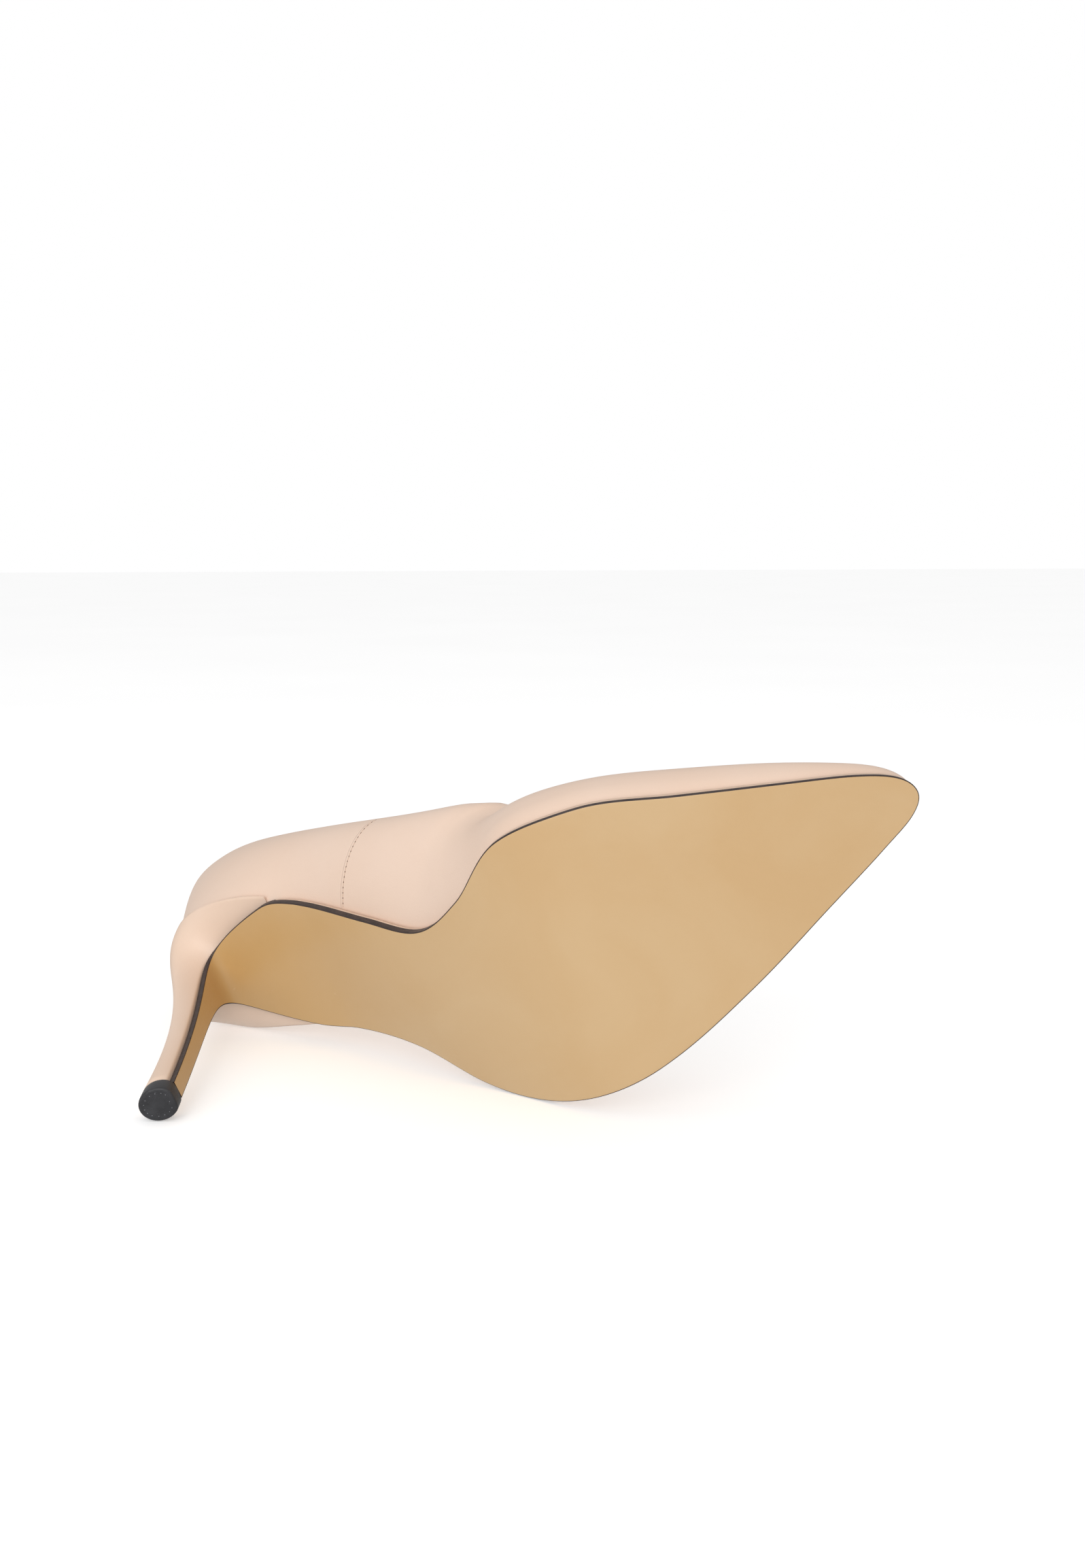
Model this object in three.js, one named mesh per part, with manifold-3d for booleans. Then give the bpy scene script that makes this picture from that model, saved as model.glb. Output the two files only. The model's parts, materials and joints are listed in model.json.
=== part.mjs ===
// A left-foot high heel pump (court shoe), size EU 38: pointed toe, leather sole that runs down the
// breast of a slim leather-covered heel, low-cut two-piece upper. Millimetres, toe to +X, lateral side
// to +Y, sole and heel tip on the ground at z = 0, origin under the middle of the shoe.
import * as THREE from "three";
import Module from "manifold-3d";

const wasm = await Module();
wasm.setup();

// ---- Driving sizes -------------------------------------------------------------------------------
const LENGTH = 225; // back of the seat to the toe tip, along the ground
const HEEL_HEIGHT = 88.8; // ground to the underside of the seat at its back
const BALL_WIDTH = 78; // widest part of the sole
const BACK_HEIGHT = 60; // seat to topline at the back
const THROAT_RISE = 43; // ground to topline at the front of the opening
const TOE_SPRING = 5; // lift of the sole at the toe tip

// Sheet thicknesses
const OUTSOLE = 2.6;
const FLAP = 1.6; // the sole, skived where it covers the heel breast
const UPPER_LEATHER = 1.0;
const STIFFENER = 0.6; // toe puff and heel counter
const LINING = 0.7;
const INSOLE = 1.4;
const INNER_BOARD = 1.4; // tuck board behind, foam pad in front
const SOCK = 1.0;
const SOCK_INSET = 2.3; // the sock and pad, inside the feather edge
const SHANK_STEEL = 1.4;
const HEEL_LEATHER = 0.8;

// Clearances
const GAP = 0.2; // between stacked sheets
const PLY_GAP = 0.1; // between the plies of the upper
const FIT = 0.3; // between pieces that butt or that are cut to each other

// Heel and its hardware
const SEAT_PITCH = 27; // degrees
const BREAST_AT = 51; // along the sole, from the back to where it leaves the seat for the heel
const TIP_BACK = 10.4; // the back of the heel tip, ahead of the back of the seat
const TIP_DEPTH = 9.8;
const TIP_WIDTH = 9.2;
const FRONT_DROP = 0.8; // how far the heel's front is behind the tip's, beside the flap
const FLAP_TIP_WIDTH = 5;
const TOP_PIECE = 5; // thickness
const TUBE_RADIUS = 1.8;
const TUBE_BORE = 1.25;
const TUBE_LENGTH = 44;
const TUBE_LEAN = 0.03; // backwards, for each millimetre up
const DOWEL_RADIUS = 1.1;
const DOWEL_LENGTH = 16;
const SOCKET = 3; // depth of the dowel in the top piece
const SCREW_RADIUS = 1.6;
const SCREW_LENGTH = 24;
const SCREW_HEAD = 3;
const SCREW_AT = 10.5; // along the sole from the back
const NAIL_RADIUS = 0.8;
const NAIL_LENGTH = 10;
const NAIL_HEAD = 1.7;
const SHANK_WIDTH = 9;
const SHANK_FROM = 24;
const SHANK_TO = 118;
const RIVET_RADIUS = 1.3;
const RIVET_HEAD = 2.4;
const FEATHER = 0.4; // the sole's edge showing past the upper
const MARGIN = 9; // width of the upper turned in under the insole

// Heights above the underside of the sole
const UPPER_PLY = LINING + STIFFENER + 3 * PLY_GAP; // inner face of the outer leather, from the lining's
const MARGIN_FLOOR = OUTSOLE + GAP;
const MARGIN_TOP = MARGIN_FLOOR + UPPER_PLY + UPPER_LEATHER; // the surface that the plies are built on
const INSOLE_FLOOR = MARGIN_TOP + FIT;
const BOARD_FLOOR = INSOLE_FLOOR + INSOLE + GAP;
const SOCK_FLOOR = BOARD_FLOOR + INNER_BOARD + GAP;
const SHANK_FLOOR = MARGIN_FLOOR + 0.4;
const FEATHER_INSET = UPPER_PLY + UPPER_LEATHER + FEATHER;

// ---- The underside of the shoe in side view ---------------------------------------------------------
const backX = -0.5 * LENGTH;
const pitch = THREE.MathUtils.degToRad(SEAT_PITCH);
const seatRun = 0.2 * LENGTH;
const seatFront = new THREE.Vector2(backX + seatRun, HEEL_HEIGHT - seatRun * Math.tan(pitch));
const treadBack = new THREE.Vector2(0.126 * LENGTH, 0);
const treadFront = new THREE.Vector2(0.282 * LENGTH, 0);
const toeTip = new THREE.Vector2(backX + LENGTH, TOE_SPRING);
const seatPull = 0.12 * LENGTH;
const underside = new THREE.CurvePath();
underside.add(new THREE.LineCurve(new THREE.Vector2(backX, HEEL_HEIGHT), seatFront));
underside.add(
  new THREE.CubicBezierCurve(
    seatFront,
    new THREE.Vector2(seatFront.x + seatPull * Math.cos(pitch), seatFront.y - seatPull * Math.sin(pitch)),
    new THREE.Vector2(treadBack.x - 0.16 * LENGTH, 0),
    treadBack,
  ),
);
underside.add(new THREE.LineCurve(treadBack, treadFront));
underside.add(
  new THREE.QuadraticBezierCurve(
    treadFront,
    new THREE.Vector2((treadFront.x + toeTip.x) / 2, 0),
    toeTip,
  ),
);
const SOLE_LENGTH = underside.getLength();

// The point at a distance s along the underside from the back, y across and rise above it.
function bottomPoint(s, y, rise) {
  const inside = THREE.MathUtils.clamp(s, 0.01, SOLE_LENGTH - 0.01);
  const share = inside / SOLE_LENGTH;
  const p = underside.getPointAt(share);
  const t = underside.getTangentAt(share);
  p.addScaledVector(t, s - inside);
  return new THREE.Vector3(p.x - t.y * rise, y, p.y + t.x * rise);
}

// ---- The sole's outline ------------------------------------------------------------------------------
// Share of the sole's length from the back, lateral and medial half width on a 78 mm ball.
const OUTLINE = [
  [0.023, 12.8, -15],
  [0.07, 18.6, -22.6],
  [0.148, 20.4, -24.4],
  [0.25, 22, -20],
  [0.351, 27, -14.5],
  [0.437, 37, -11.2],
  [0.515, 41.8, -19.6],
  [0.593, 41.6, -34],
  [0.686, 36, -36],
  [0.78, 25.6, -29.8],
  [0.874, 13, -23.2],
  [0.947, 3.8, -17.4],
  [0.987, -1.6, -12.2],
];
const SEAT_CENTRE = -0.8;
const TOE_CENTRE = -6.6;
const LAST_ROW = OUTLINE.length + 1; // rows 0 and LAST_ROW are the back and the toe tip
const across = BALL_WIDTH / 78;

function loopCurve(back, tip, lateral, medial) {
  const points = [medial[0], back, ...lateral, tip, ...[...medial].reverse(), back, lateral[0]];
  return new THREE.SplineCurve(points.map(([a, b]) => new THREE.Vector2(a, b)));
}

// A point of a loop at a row, which may be a fraction; side is 1 on the lateral side and -1 on the medial.
function onLoop(curve, row, side) {
  const index = side > 0 ? 1 + row : 1 + 2 * LAST_ROW - row;
  return curve.getPoint(index / (curve.points.length - 1));
}

const soleLoop = loopCurve(
  [0, SEAT_CENTRE * across],
  [SOLE_LENGTH, TOE_CENTRE * across],
  OUTLINE.map(([share, lateral]) => [share * SOLE_LENGTH, lateral * across]),
  OUTLINE.map(([share, , medial]) => [share * SOLE_LENGTH, medial * across]),
);

// The outward direction of the sole's edge, in the sole's own (length, width) plane.
function edgeNormal(row, side) {
  const step = 0.02;
  const a = onLoop(soleLoop, Math.max(row - step, 0), side);
  const b = onLoop(soleLoop, Math.min(row + step, LAST_ROW), side);
  if (row === 0) return new THREE.Vector2(-1, 0);
  if (row === LAST_ROW) return new THREE.Vector2(1, 0);
  return new THREE.Vector2(-(b.y - a.y) * side, (b.x - a.x) * side).normalize();
}

// The sole's edge moved inwards.
function soleEdge(row, side, inset) {
  return onLoop(soleLoop, row, side).addScaledVector(edgeNormal(row, side), -inset);
}

// The row at which the sole reaches a distance from the back.
function rowAt(s) {
  let low = 0;
  let high = LAST_ROW;
  for (let i = 0; i < 40; i++) {
    const middle = (low + high) / 2;
    if (onLoop(soleLoop, middle, 1).x < s) low = middle;
    else high = middle;
  }
  return (low + high) / 2;
}

// ---- Closed meshes from triangles -----------------------------------------------------------------------
const placeKey = (p) => [p.x, p.y, p.z].map((v) => Math.round(v * 1e4)).join();

function closedGeometry(triangles) {
  const index = new Map();
  const positions = [];
  const faces = [];
  const at = (p) => {
    const key = placeKey(p);
    if (!index.has(key)) {
      index.set(key, positions.length / 3);
      positions.push(p.x, p.y, p.z);
    }
    return index.get(key);
  };
  for (const [a, b, c] of triangles) {
    const [i, j, k] = [at(a), at(b), at(c)];
    if (i !== j && j !== k && i !== k) faces.push(i, j, k);
  }
  const geometry = new THREE.BufferGeometry();
  geometry.setAttribute("position", new THREE.Float32BufferAttribute(positions, 3));
  geometry.setIndex(faces);
  return volumeOf(geometry) < 0 ? turnedOut(geometry) : geometry;
}

function volumeOf(geometry) {
  const p = geometry.getAttribute("position");
  const corner = (i) => new THREE.Vector3().fromBufferAttribute(p, geometry.index.getX(i));
  let six = 0;
  for (let i = 0; i < geometry.index.count; i += 3) six += corner(i).dot(corner(i + 1).cross(corner(i + 2)));
  return six / 6;
}

function turnedOut(geometry) {
  const order = geometry.index.array;
  for (let i = 0; i < order.length; i += 3) [order[i + 1], order[i + 2]] = [order[i + 2], order[i + 1]];
  return geometry;
}

// A closed solid between two grids of points of the same size. Where the grid folds back on itself, the
// two walls that would meet there are left out.
function gridSolid(under, over) {
  const triangles = [];
  const walls = new Map();
  const quad = (a, b, c, d) => triangles.push([a, b, c], [a, c, d]);
  const wall = (...corners) => {
    const key = corners.map(placeKey).sort().join(" ");
    if (walls.has(key)) walls.delete(key);
    else walls.set(key, corners);
  };
  const rows = under.length - 1;
  const columns = under[0].length - 1;
  for (let i = 0; i < rows; i++)
    for (let k = 0; k < columns; k++) {
      quad(under[i][k], under[i + 1][k], under[i + 1][k + 1], under[i][k + 1]);
      quad(over[i][k], over[i][k + 1], over[i + 1][k + 1], over[i + 1][k]);
    }
  for (let i = 0; i < rows; i++) {
    wall(under[i][0], over[i][0], over[i + 1][0], under[i + 1][0]);
    wall(under[i][columns], under[i + 1][columns], over[i + 1][columns], over[i][columns]);
  }
  for (let k = 0; k < columns; k++) {
    wall(under[0][k], under[0][k + 1], over[0][k + 1], over[0][k]);
    wall(under[rows][k], over[rows][k], over[rows][k + 1], under[rows][k + 1]);
  }
  for (const corners of walls.values()) quad(...corners);
  return closedGeometry(triangles);
}

// ---- Booleans --------------------------------------------------------------------------------------------
function solidOf(geometry) {
  const g = geometry.index && !geometry.getAttribute("normal") ? geometry : welded(geometry);
  const mesh = new wasm.Mesh({
    numProp: 3,
    vertProperties: new Float32Array(g.getAttribute("position").array),
    triVerts: new Uint32Array(g.index.array),
  });
  return new wasm.Manifold(mesh);
}

function welded(geometry) {
  const flat = geometry.index ? geometry.toNonIndexed() : geometry;
  const p = flat.getAttribute("position");
  const triangles = [];
  for (let i = 0; i < p.count; i += 3)
    triangles.push([0, 1, 2].map((k) => new THREE.Vector3().fromBufferAttribute(p, i + k)));
  return closedGeometry(triangles);
}

function geometryOf(solid) {
  const mesh = solid.getMesh();
  const positions = [];
  for (let i = 0; i < mesh.numVert; i++)
    positions.push(...mesh.vertProperties.subarray(i * mesh.numProp, i * mesh.numProp + 3));
  const geometry = new THREE.BufferGeometry();
  geometry.setAttribute("position", new THREE.Float32BufferAttribute(positions, 3));
  geometry.setIndex([...mesh.triVerts]);
  return geometry;
}

// What is left of a piece after the tools have cut it, without hairline offcuts.
function cut(geometry, ...tools) {
  let solid = solidOf(geometry);
  for (const tool of tools) solid = solid.subtract(solidOf(tool));
  return geometryOf(solid.decompose().reduce((a, b) => (b.volume() > a.volume() ? b : a)));
}

function joined(...geometries) {
  return geometryOf(geometries.map(solidOf).reduce((a, b) => a.add(b)));
}

// A round bar from one point to another.
function bar(from, to, radius, sides = 16) {
  const along = new THREE.Vector3().subVectors(to, from);
  const geometry = new THREE.CylinderGeometry(radius, radius, along.length(), sides);
  geometry.translate(0, along.length() / 2, 0);
  geometry.applyQuaternion(
    new THREE.Quaternion().setFromUnitVectors(new THREE.Vector3(0, 1, 0), along.clone().normalize()),
  );
  geometry.translate(from.x, from.y, from.z);
  return welded(geometry);
}

// ---- The upper's shape -----------------------------------------------------------------------------------
// One line per row of the outline: where the wall from that row ends. In the opening that is the topline,
// and from THROAT_ROW on it is the ridge of the toe, which both sides share.
// x as a share of the length ahead of the back, height above the underside there, lateral and medial y.
const RIDGE_FALL = 0.36; // slope of the ridge where it reaches the toe
const THROAT_ROW = 8;
const POLE_ROW = 12;
const TOP = [
  [0.034, BACK_HEIGHT, -2, -2],
  [0.046, BACK_HEIGHT - 3, 10, -12.5],
  [0.079, BACK_HEIGHT - 9, 17.5, -19.5],
  [0.165, BACK_HEIGHT - 18, 23, -25.5],
  [0.3, BACK_HEIGHT - 25, 27.5, -28.5],
  [0.425, BACK_HEIGHT - 23, 30.5, -29],
  [0.525, THROAT_RISE - 1.5, 30, -26],
  [0.585, THROAT_RISE + 0.5, 20.5, -18.5],
  [0.608, THROAT_RISE, 1.5, 1.5],
  [0.68, 0.85 * THROAT_RISE, 1, 1],
  [0.76, 0.69 * THROAT_RISE, -1, -1],
  [0.84, 0.52 * THROAT_RISE, -3.5, -3.5],
  [0.91, 0.37 * THROAT_RISE, -5.2, -5.2],
];
// The height of the underside at a place ahead of the back.
function undersideHeight(x) {
  let low = 0;
  let high = 1;
  for (let i = 0; i < 40; i++) {
    const middle = (low + high) / 2;
    if (underside.getPointAt(middle).x < x) low = middle;
    else high = middle;
  }
  return underside.getPointAt(low).y;
}

function topPoint([share, rise, lateral, medial], side) {
  const x = backX + share * LENGTH;
  return new THREE.Vector3(x, (side > 0 ? lateral : medial) * across, undersideHeight(x) + rise);
}

const sideSplines = [1, -1].map((side) => {
  const mirrored = topPoint(TOP[1], -side);
  const opening = [mirrored, ...TOP.slice(0, THROAT_ROW + 1).map((row) => topPoint(row, side))];
  opening.push(topPoint(TOP[THROAT_ROW - 1], -side));
  const ridge = TOP.slice(THROAT_ROW).map((row) => topPoint(row, side));
  return {
    opening: new THREE.CatmullRomCurve3(opening, false, "catmullrom", 0.5),
    ridge: new THREE.CatmullRomCurve3(ridge, false, "catmullrom", 0.5),
  };
});

function wallTop(row, side) {
  const { opening, ridge } = sideSplines[side > 0 ? 0 : 1];
  if (row <= THROAT_ROW) return opening.getPoint((row + 1) / (opening.points.length - 1));
  return ridge.getPoint(Math.min(row - THROAT_ROW, POLE_ROW - THROAT_ROW) / (POLE_ROW - THROAT_ROW));
}

// How far the wall swells past the sole's edge at each row, lateral and medial.
const SWELL = [
  [2.5, 2.5],
  [3.5, 3],
  [4.5, 4],
  [5.5, 6.5],
  [6.5, 10],
  [6, 14],
  [4, 17.5],
  [3.5, 17],
  [4, 10.6],
  [4.5, 8.6],
  [4.5, 8.5],
  [4.5, 7],
  [4, 3.8],
  [3.5, 2.6],
  [3, 3],
];
const swellCurves = [0, 1].map(
  (k) => new THREE.SplineCurve(SWELL.map((pair, row) => new THREE.Vector2(row, pair[k]))),
);

// A wall of the upper from the feather edge (share 0) to the topline or ridge (share 1), as a curve whose
// lower pull leans out with the swell and whose upper pull turns over towards the ridge ahead of the throat.
const LOWER_PULL = 0.36; // shares of the wall's height or reach
const UPPER_PULL = 0.34;
const RIDGE_PULL = 0.52;
function wallPoint(row, side, share) {
  const edge = soleEdge(row, side, FEATHER_INSET);
  const foot = bottomPoint(edge.x, edge.y, MARGIN_TOP);
  const up = bottomPoint(edge.x, edge.y, MARGIN_TOP + 1).sub(foot);
  const lean = Math.min(edge.x / SOLE_LENGTH / 0.25, 1);
  up.lerp(new THREE.Vector3(0, 0, 1), 0.75 - 0.25 * lean).normalize();
  const normal = edgeNormal(row, side);
  const outer = bottomPoint(edge.x + normal.x, edge.y + normal.y, MARGIN_TOP).sub(foot).normalize();
  const top = wallTop(row, side);
  const height = top.clone().sub(foot).dot(up);
  const reach = Math.hypot(top.x - foot.x, top.y - foot.y);
  const swell = swellCurves[side > 0 ? 0 : 1].getPoint(row / LAST_ROW).y;
  const closing = THREE.MathUtils.smoothstep(row, THROAT_ROW - 4, THROAT_ROW + 0.4);
  const fan = (Math.PI / 2) * (1 - THREE.MathUtils.smootherstep(row, POLE_ROW - 0.6, LAST_ROW));
  const flat = new THREE.Vector3(Math.cos(fan), Math.sin(fan) * side, -RIDGE_FALL * Math.cos(fan));
  const heading = outer.clone().setZ(0).normalize().lerp(flat, closing).normalize();
  const first = foot
    .clone()
    .addScaledVector(up, height * (LOWER_PULL + 0.12 * closing))
    .addScaledVector(outer, swell * 1.45);
  const second = top
    .clone()
    .addScaledVector(up, -height * UPPER_PULL * (1 - closing))
    .addScaledVector(heading, closing * reach * RIDGE_PULL + (1 - closing) * (2 + swell * 0.35));
  return new THREE.CubicBezierCurve3(foot, first, second, top).getPoint(share);
}

// ---- The skin that the plies of the upper are built on ------------------------------------------------
// A lattice of stations round the shoe, each a column of points from the turned-in margin to the topline.
const ROW_STEP = 0.5;
const MARGIN_SHARES = [1, 0.5, 0.12];
const WALL_SHARES = [0, 0.1, 0.26, 0.44, 0.62, 0.8, 1];
const SEAM_ROW = 4.5; // where the vamp meets the quarter
const SEAM_SHIFT = 0.012; // rows, leaving the butt joint open by about FIT

// The middle of the sole, which stops short of the back and the toe.
function spine(row) {
  const s = THREE.MathUtils.clamp(onLoop(soleLoop, row, 1).x, 24, SOLE_LENGTH - 34);
  const level = rowAt(s);
  return onLoop(soleLoop, level, 1).add(onLoop(soleLoop, level, -1)).multiplyScalar(0.5);
}

// The inner edge of the turned-in margin, moved further in by extra.
function marginEdge(row, side, share, extra = 0) {
  const edge = soleEdge(row, side, FEATHER_INSET);
  const inward = spine(row).sub(edge);
  const depth = Math.min(MARGIN, inward.length() * 0.62) * share + extra;
  return edge.addScaledVector(inward.normalize(), depth);
}

function skinColumn(row, side) {
  const margin = MARGIN_SHARES.map((share) => {
    const p = marginEdge(row, side, share);
    return bottomPoint(p.x, p.y, MARGIN_TOP);
  });
  return [...margin, ...WALL_SHARES.map((share) => wallPoint(row, side, share))];
}

const FINE_ROWS = [3, 7.5]; // the arch, where the sole curves most
const ROWS = [];
for (let row = 0; row <= LAST_ROW; row += row >= FINE_ROWS[0] && row < FINE_ROWS[1] ? ROW_STEP / 2 : ROW_STEP)
  ROWS.push(row);

// Stations from one row to another along one side.
function stations(from, to, side) {
  const chosen = ROWS.filter((row) => row >= Math.min(from, to) && row <= Math.max(from, to));
  if (to < from) chosen.reverse();
  return chosen.map((row) => [row, side]);
}

const skinLoop = [...stations(0, LAST_ROW, 1), ...stations(LAST_ROW, 0, -1).slice(1)];
const skinNormals = new Map();
const skinKey = (p) => [p.x, p.y, p.z].map((v) => Math.round(v * 1e3)).join();
{
  const columns = skinLoop.map(([row, side]) => skinColumn(row, side));
  const add = (a, b, c) => {
    const face = new THREE.Vector3().subVectors(c, a).cross(new THREE.Vector3().subVectors(b, a));
    for (const p of [a, b, c]) {
      const key = skinKey(p);
      skinNormals.set(key, (skinNormals.get(key) ?? new THREE.Vector3()).add(face));
    }
  };
  for (let i = 0; i + 1 < columns.length; i++)
    for (let k = 0; k + 1 < columns[i].length; k++) {
      add(columns[i][k], columns[i + 1][k], columns[i + 1][k + 1]);
      add(columns[i][k], columns[i + 1][k + 1], columns[i][k + 1]);
    }
  for (const normal of skinNormals.values()) normal.normalize();
}

// One ply: the part of the skin over the given stations, from a distance out to another.
function ply(loop, from, to, columnsUsed, endShift = 0) {
  const grid = (distance) =>
    loop.map(([row, side], i) => {
      const end = i === 0 || i === loop.length - 1;
      const column = skinColumn(row, side);
      const placed = end ? skinColumn(row + endShift, side) : column;
      return column.slice(...columnsUsed).map((p, k) => {
        const normal = skinNormals.get(skinKey(p));
        return placed.slice(...columnsUsed)[k].clone().addScaledVector(normal, distance);
      });
    });
  return gridSolid(grid(from), grid(to));
}

const vampLoop = [...stations(SEAM_ROW, LAST_ROW, 1), ...stations(LAST_ROW, SEAM_ROW, -1).slice(1)];
const quarterLoop = [...stations(SEAM_ROW, 0, -1), ...stations(0, SEAM_ROW, 1).slice(1)];
const puffLoop = [...stations(11, LAST_ROW, 1), ...stations(LAST_ROW, 11, -1).slice(1)];
const counterLoop = [...stations(3, 0, -1), ...stations(0, 3, 1).slice(1)];
const WHOLE = [0]; // all of a column of the skin
const BELOW_TOP = [0, -1]; // a column without its last point
const stiffenerFrom = LINING + PLY_GAP;

// ---- Flat sheets between the sole and the foot -----------------------------------------------------------
const BOARD_COLUMNS = 2;

const LATTICE = 6; // spacing of the stations that all the sheets share
const END_STEPS = [0.4, 1.2, 2.6, 4.6, 7.4, 11];

// Where an inset outline reaches s, on one side.
function reach(edge, s, side) {
  let low = 0;
  let high = LAST_ROW;
  for (let i = 0; i < 40; i++) {
    const middle = (low + high) / 2;
    if (edge(middle, side).x < s) low = middle;
    else high = middle;
  }
  return edge((low + high) / 2, side).y;
}

// A sheet over a stretch of the sole; edge gives its outline at a row and side.
function board(from, to, floor, thickness, edge) {
  const back = Math.max(from, edge(0, 1).x + 0.01);
  const front = Math.min(to, edge(LAST_ROW, 1).x - 0.01);
  const places = new Set([back, front]);
  if (back > from) for (const step of END_STEPS) places.add(back + step);
  if (front < to) for (const step of END_STEPS) places.add(front - step);
  for (let s = 0; s < SOLE_LENGTH; s += LATTICE)
    if (s > back + (back > from ? 12 : 1) && s < front - (front < to ? 12 : 1)) places.add(s);
  const ordered = [...places].sort((a, b) => a - b);
  const grid = (rise) =>
    ordered.map((s) => {
      const medial = reach(edge, s, -1);
      const lateral = reach(edge, s, 1);
      return Array.from({ length: BOARD_COLUMNS + 1 }, (_, k) =>
        bottomPoint(s, medial + ((lateral - medial) * k) / BOARD_COLUMNS, rise),
      );
    });
  return gridSolid(grid(floor), grid(floor + thickness));
}

const insoleEdge = (row, side) => soleEdge(row, side, FEATHER_INSET + FIT);
const sockEdge = (row, side) => soleEdge(row, side, FEATHER_INSET + SOCK_INSET);
const fillerEdge = (row, side) => marginEdge(row, side, 1, 3 * FIT);
const FOAM_FROM = 120; // along the sole, where the foam pad takes over from the tuck board

// A level block over part of the seat, used to trim pieces at a rise.
function seatBlock(from, to) {
  const grid = (rise) =>
    Array.from({ length: 45 }, (_, i) => [-60, 60].map((y) => bottomPoint(i * 2 - 10, y, rise)));
  return gridSolid(grid(from), grid(to));
}
const aboveSeat = seatBlock(OUTSOLE, OUTSOLE + 40);

// ---- The sole's path round the breast and down the heel -----------------------------------------------------
const tipFront = new THREE.Vector2(backX + TIP_BACK + TIP_DEPTH, TOP_PIECE + GAP);
const breastTop = underside.getPointAt(BREAST_AT / SOLE_LENGTH);
const breastHeading = underside
  .getPointAt((BREAST_AT - 12) / SOLE_LENGTH)
  .sub(breastTop)
  .normalize();
// How far the two ends of the breast's curve pull, as shares of the heel's height.
const BREAST_PULL = 0.5;
const PILLAR_PULL = 0.87;
const breastCurve = new THREE.CubicBezierCurve(
  breastTop,
  breastTop.clone().addScaledVector(breastHeading, BREAST_PULL * HEEL_HEIGHT),
  new THREE.Vector2(tipFront.x - 0.8, tipFront.y + PILLAR_PULL * HEEL_HEIGHT),
  tipFront,
);
const breastRow = rowAt(BREAST_AT);
const BREAST_STEPS = 16;
const FLAP_TAPER = 2.34; // how fast the flap narrows on its way down
const SKIVED_BY = 0.12; // share of the way down by which the sole is thinned to the flap
// The flap's steps down the breast, closer together at the top, and its thickness at each.
const flapShares = Array.from({ length: BREAST_STEPS + 1 }, (_, i) => (i / BREAST_STEPS) ** 1.25);
const flapThickness = (share) => OUTSOLE + (FLAP - OUTSOLE) * THREE.MathUtils.smoothstep(share, 0, SKIVED_BY);
const seatMiddle = SEAT_CENTRE * across - 0.7;

// The flap's edge at a share of the way down the breast.
function flapEdge(share, side) {
  const tip = seatMiddle + (side * FLAP_TIP_WIDTH) / 2;
  const top = onLoop(soleLoop, breastRow, side).y;
  return tip + (top - tip) * (1 - share) ** FLAP_TAPER;
}

// Points across the flap: depth behind its face, extra width beyond each edge.
function flapRow(share, depth, extra) {
  const p = breastCurve.getPoint(share);
  const t = breastCurve.getTangent(share);
  const x = p.x + t.y * depth;
  const z = p.y - t.x * depth;
  const medial = flapEdge(share, -1) - extra;
  const lateral = flapEdge(share, 1) + extra;
  return Array.from({ length: BOARD_COLUMNS + 1 }, (_, k) => {
    return new THREE.Vector3(x, medial + ((lateral - medial) * k) / BOARD_COLUMNS, z);
  });
}

function soleRow(row, rise) {
  const medial = onLoop(soleLoop, row, -1);
  const lateral = onLoop(soleLoop, row, 1);
  return Array.from({ length: BOARD_COLUMNS + 1 }, (_, k) => {
    const p = medial.clone().lerp(lateral, k / BOARD_COLUMNS);
    return bottomPoint(p.x, p.y, rise);
  });
}

function outsoleGeometry() {
  const rows = [];
  const count = Math.ceil((LAST_ROW - breastRow) / (ROW_STEP / 2));
  for (let i = 0; i < count; i++) {
    const row = LAST_ROW + ((breastRow - LAST_ROW) * i) / count;
    rows.push([soleRow(row, 0), soleRow(row, OUTSOLE)]);
  }
  for (const share of flapShares) rows.push([flapRow(share, 0, 0), flapRow(share, flapThickness(share), 0)]);
  return gridSolid(
    rows.map(([under]) => under),
    rows.map(([, over]) => over),
  );
}

// The room that the flap takes in front of the heel, with its clearance.
function flapRoom() {
  const ahead = (row) =>
    row.map((p) => p.clone().add(new THREE.Vector3(-breastHeading.x, 0, -breastHeading.y).multiplyScalar(9)));
  const under = flapShares.map((share) => flapRow(share, -3, 8));
  const over = flapShares.map((share) => flapRow(share, flapThickness(share) + GAP, 8));
  return gridSolid([ahead(under[0]), ...under], [ahead(over[0]), ...over]);
}

// ---- The heel ------------------------------------------------------------------------------------------------
const tipMiddle = new THREE.Vector2(backX + TIP_BACK + TIP_DEPTH / 2, seatMiddle);
const FRONT_ANGLE = THREE.MathUtils.degToRad(146); // from the back of the tip to the flap's edge
const HEEL_ROWS = 16;
const HEEL_COLUMNS = 9; // on each side
const RAISED = 6;

// The outer edge of the heel tip, at a share of the way from its back round to the flap.
function tipEdge(turn, side, inset = 0, deep = TIP_DEPTH) {
  const angle = turn * FRONT_ANGLE;
  const depth = deep / (1 - Math.cos(FRONT_ANGLE)) - inset;
  const middle = backX + TIP_BACK + deep / (1 - Math.cos(FRONT_ANGLE));
  return new THREE.Vector2(
    middle - depth * Math.cos(angle),
    tipMiddle.y + side * (TIP_WIDTH / 2 - inset) * Math.sin(angle),
  );
}

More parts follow.
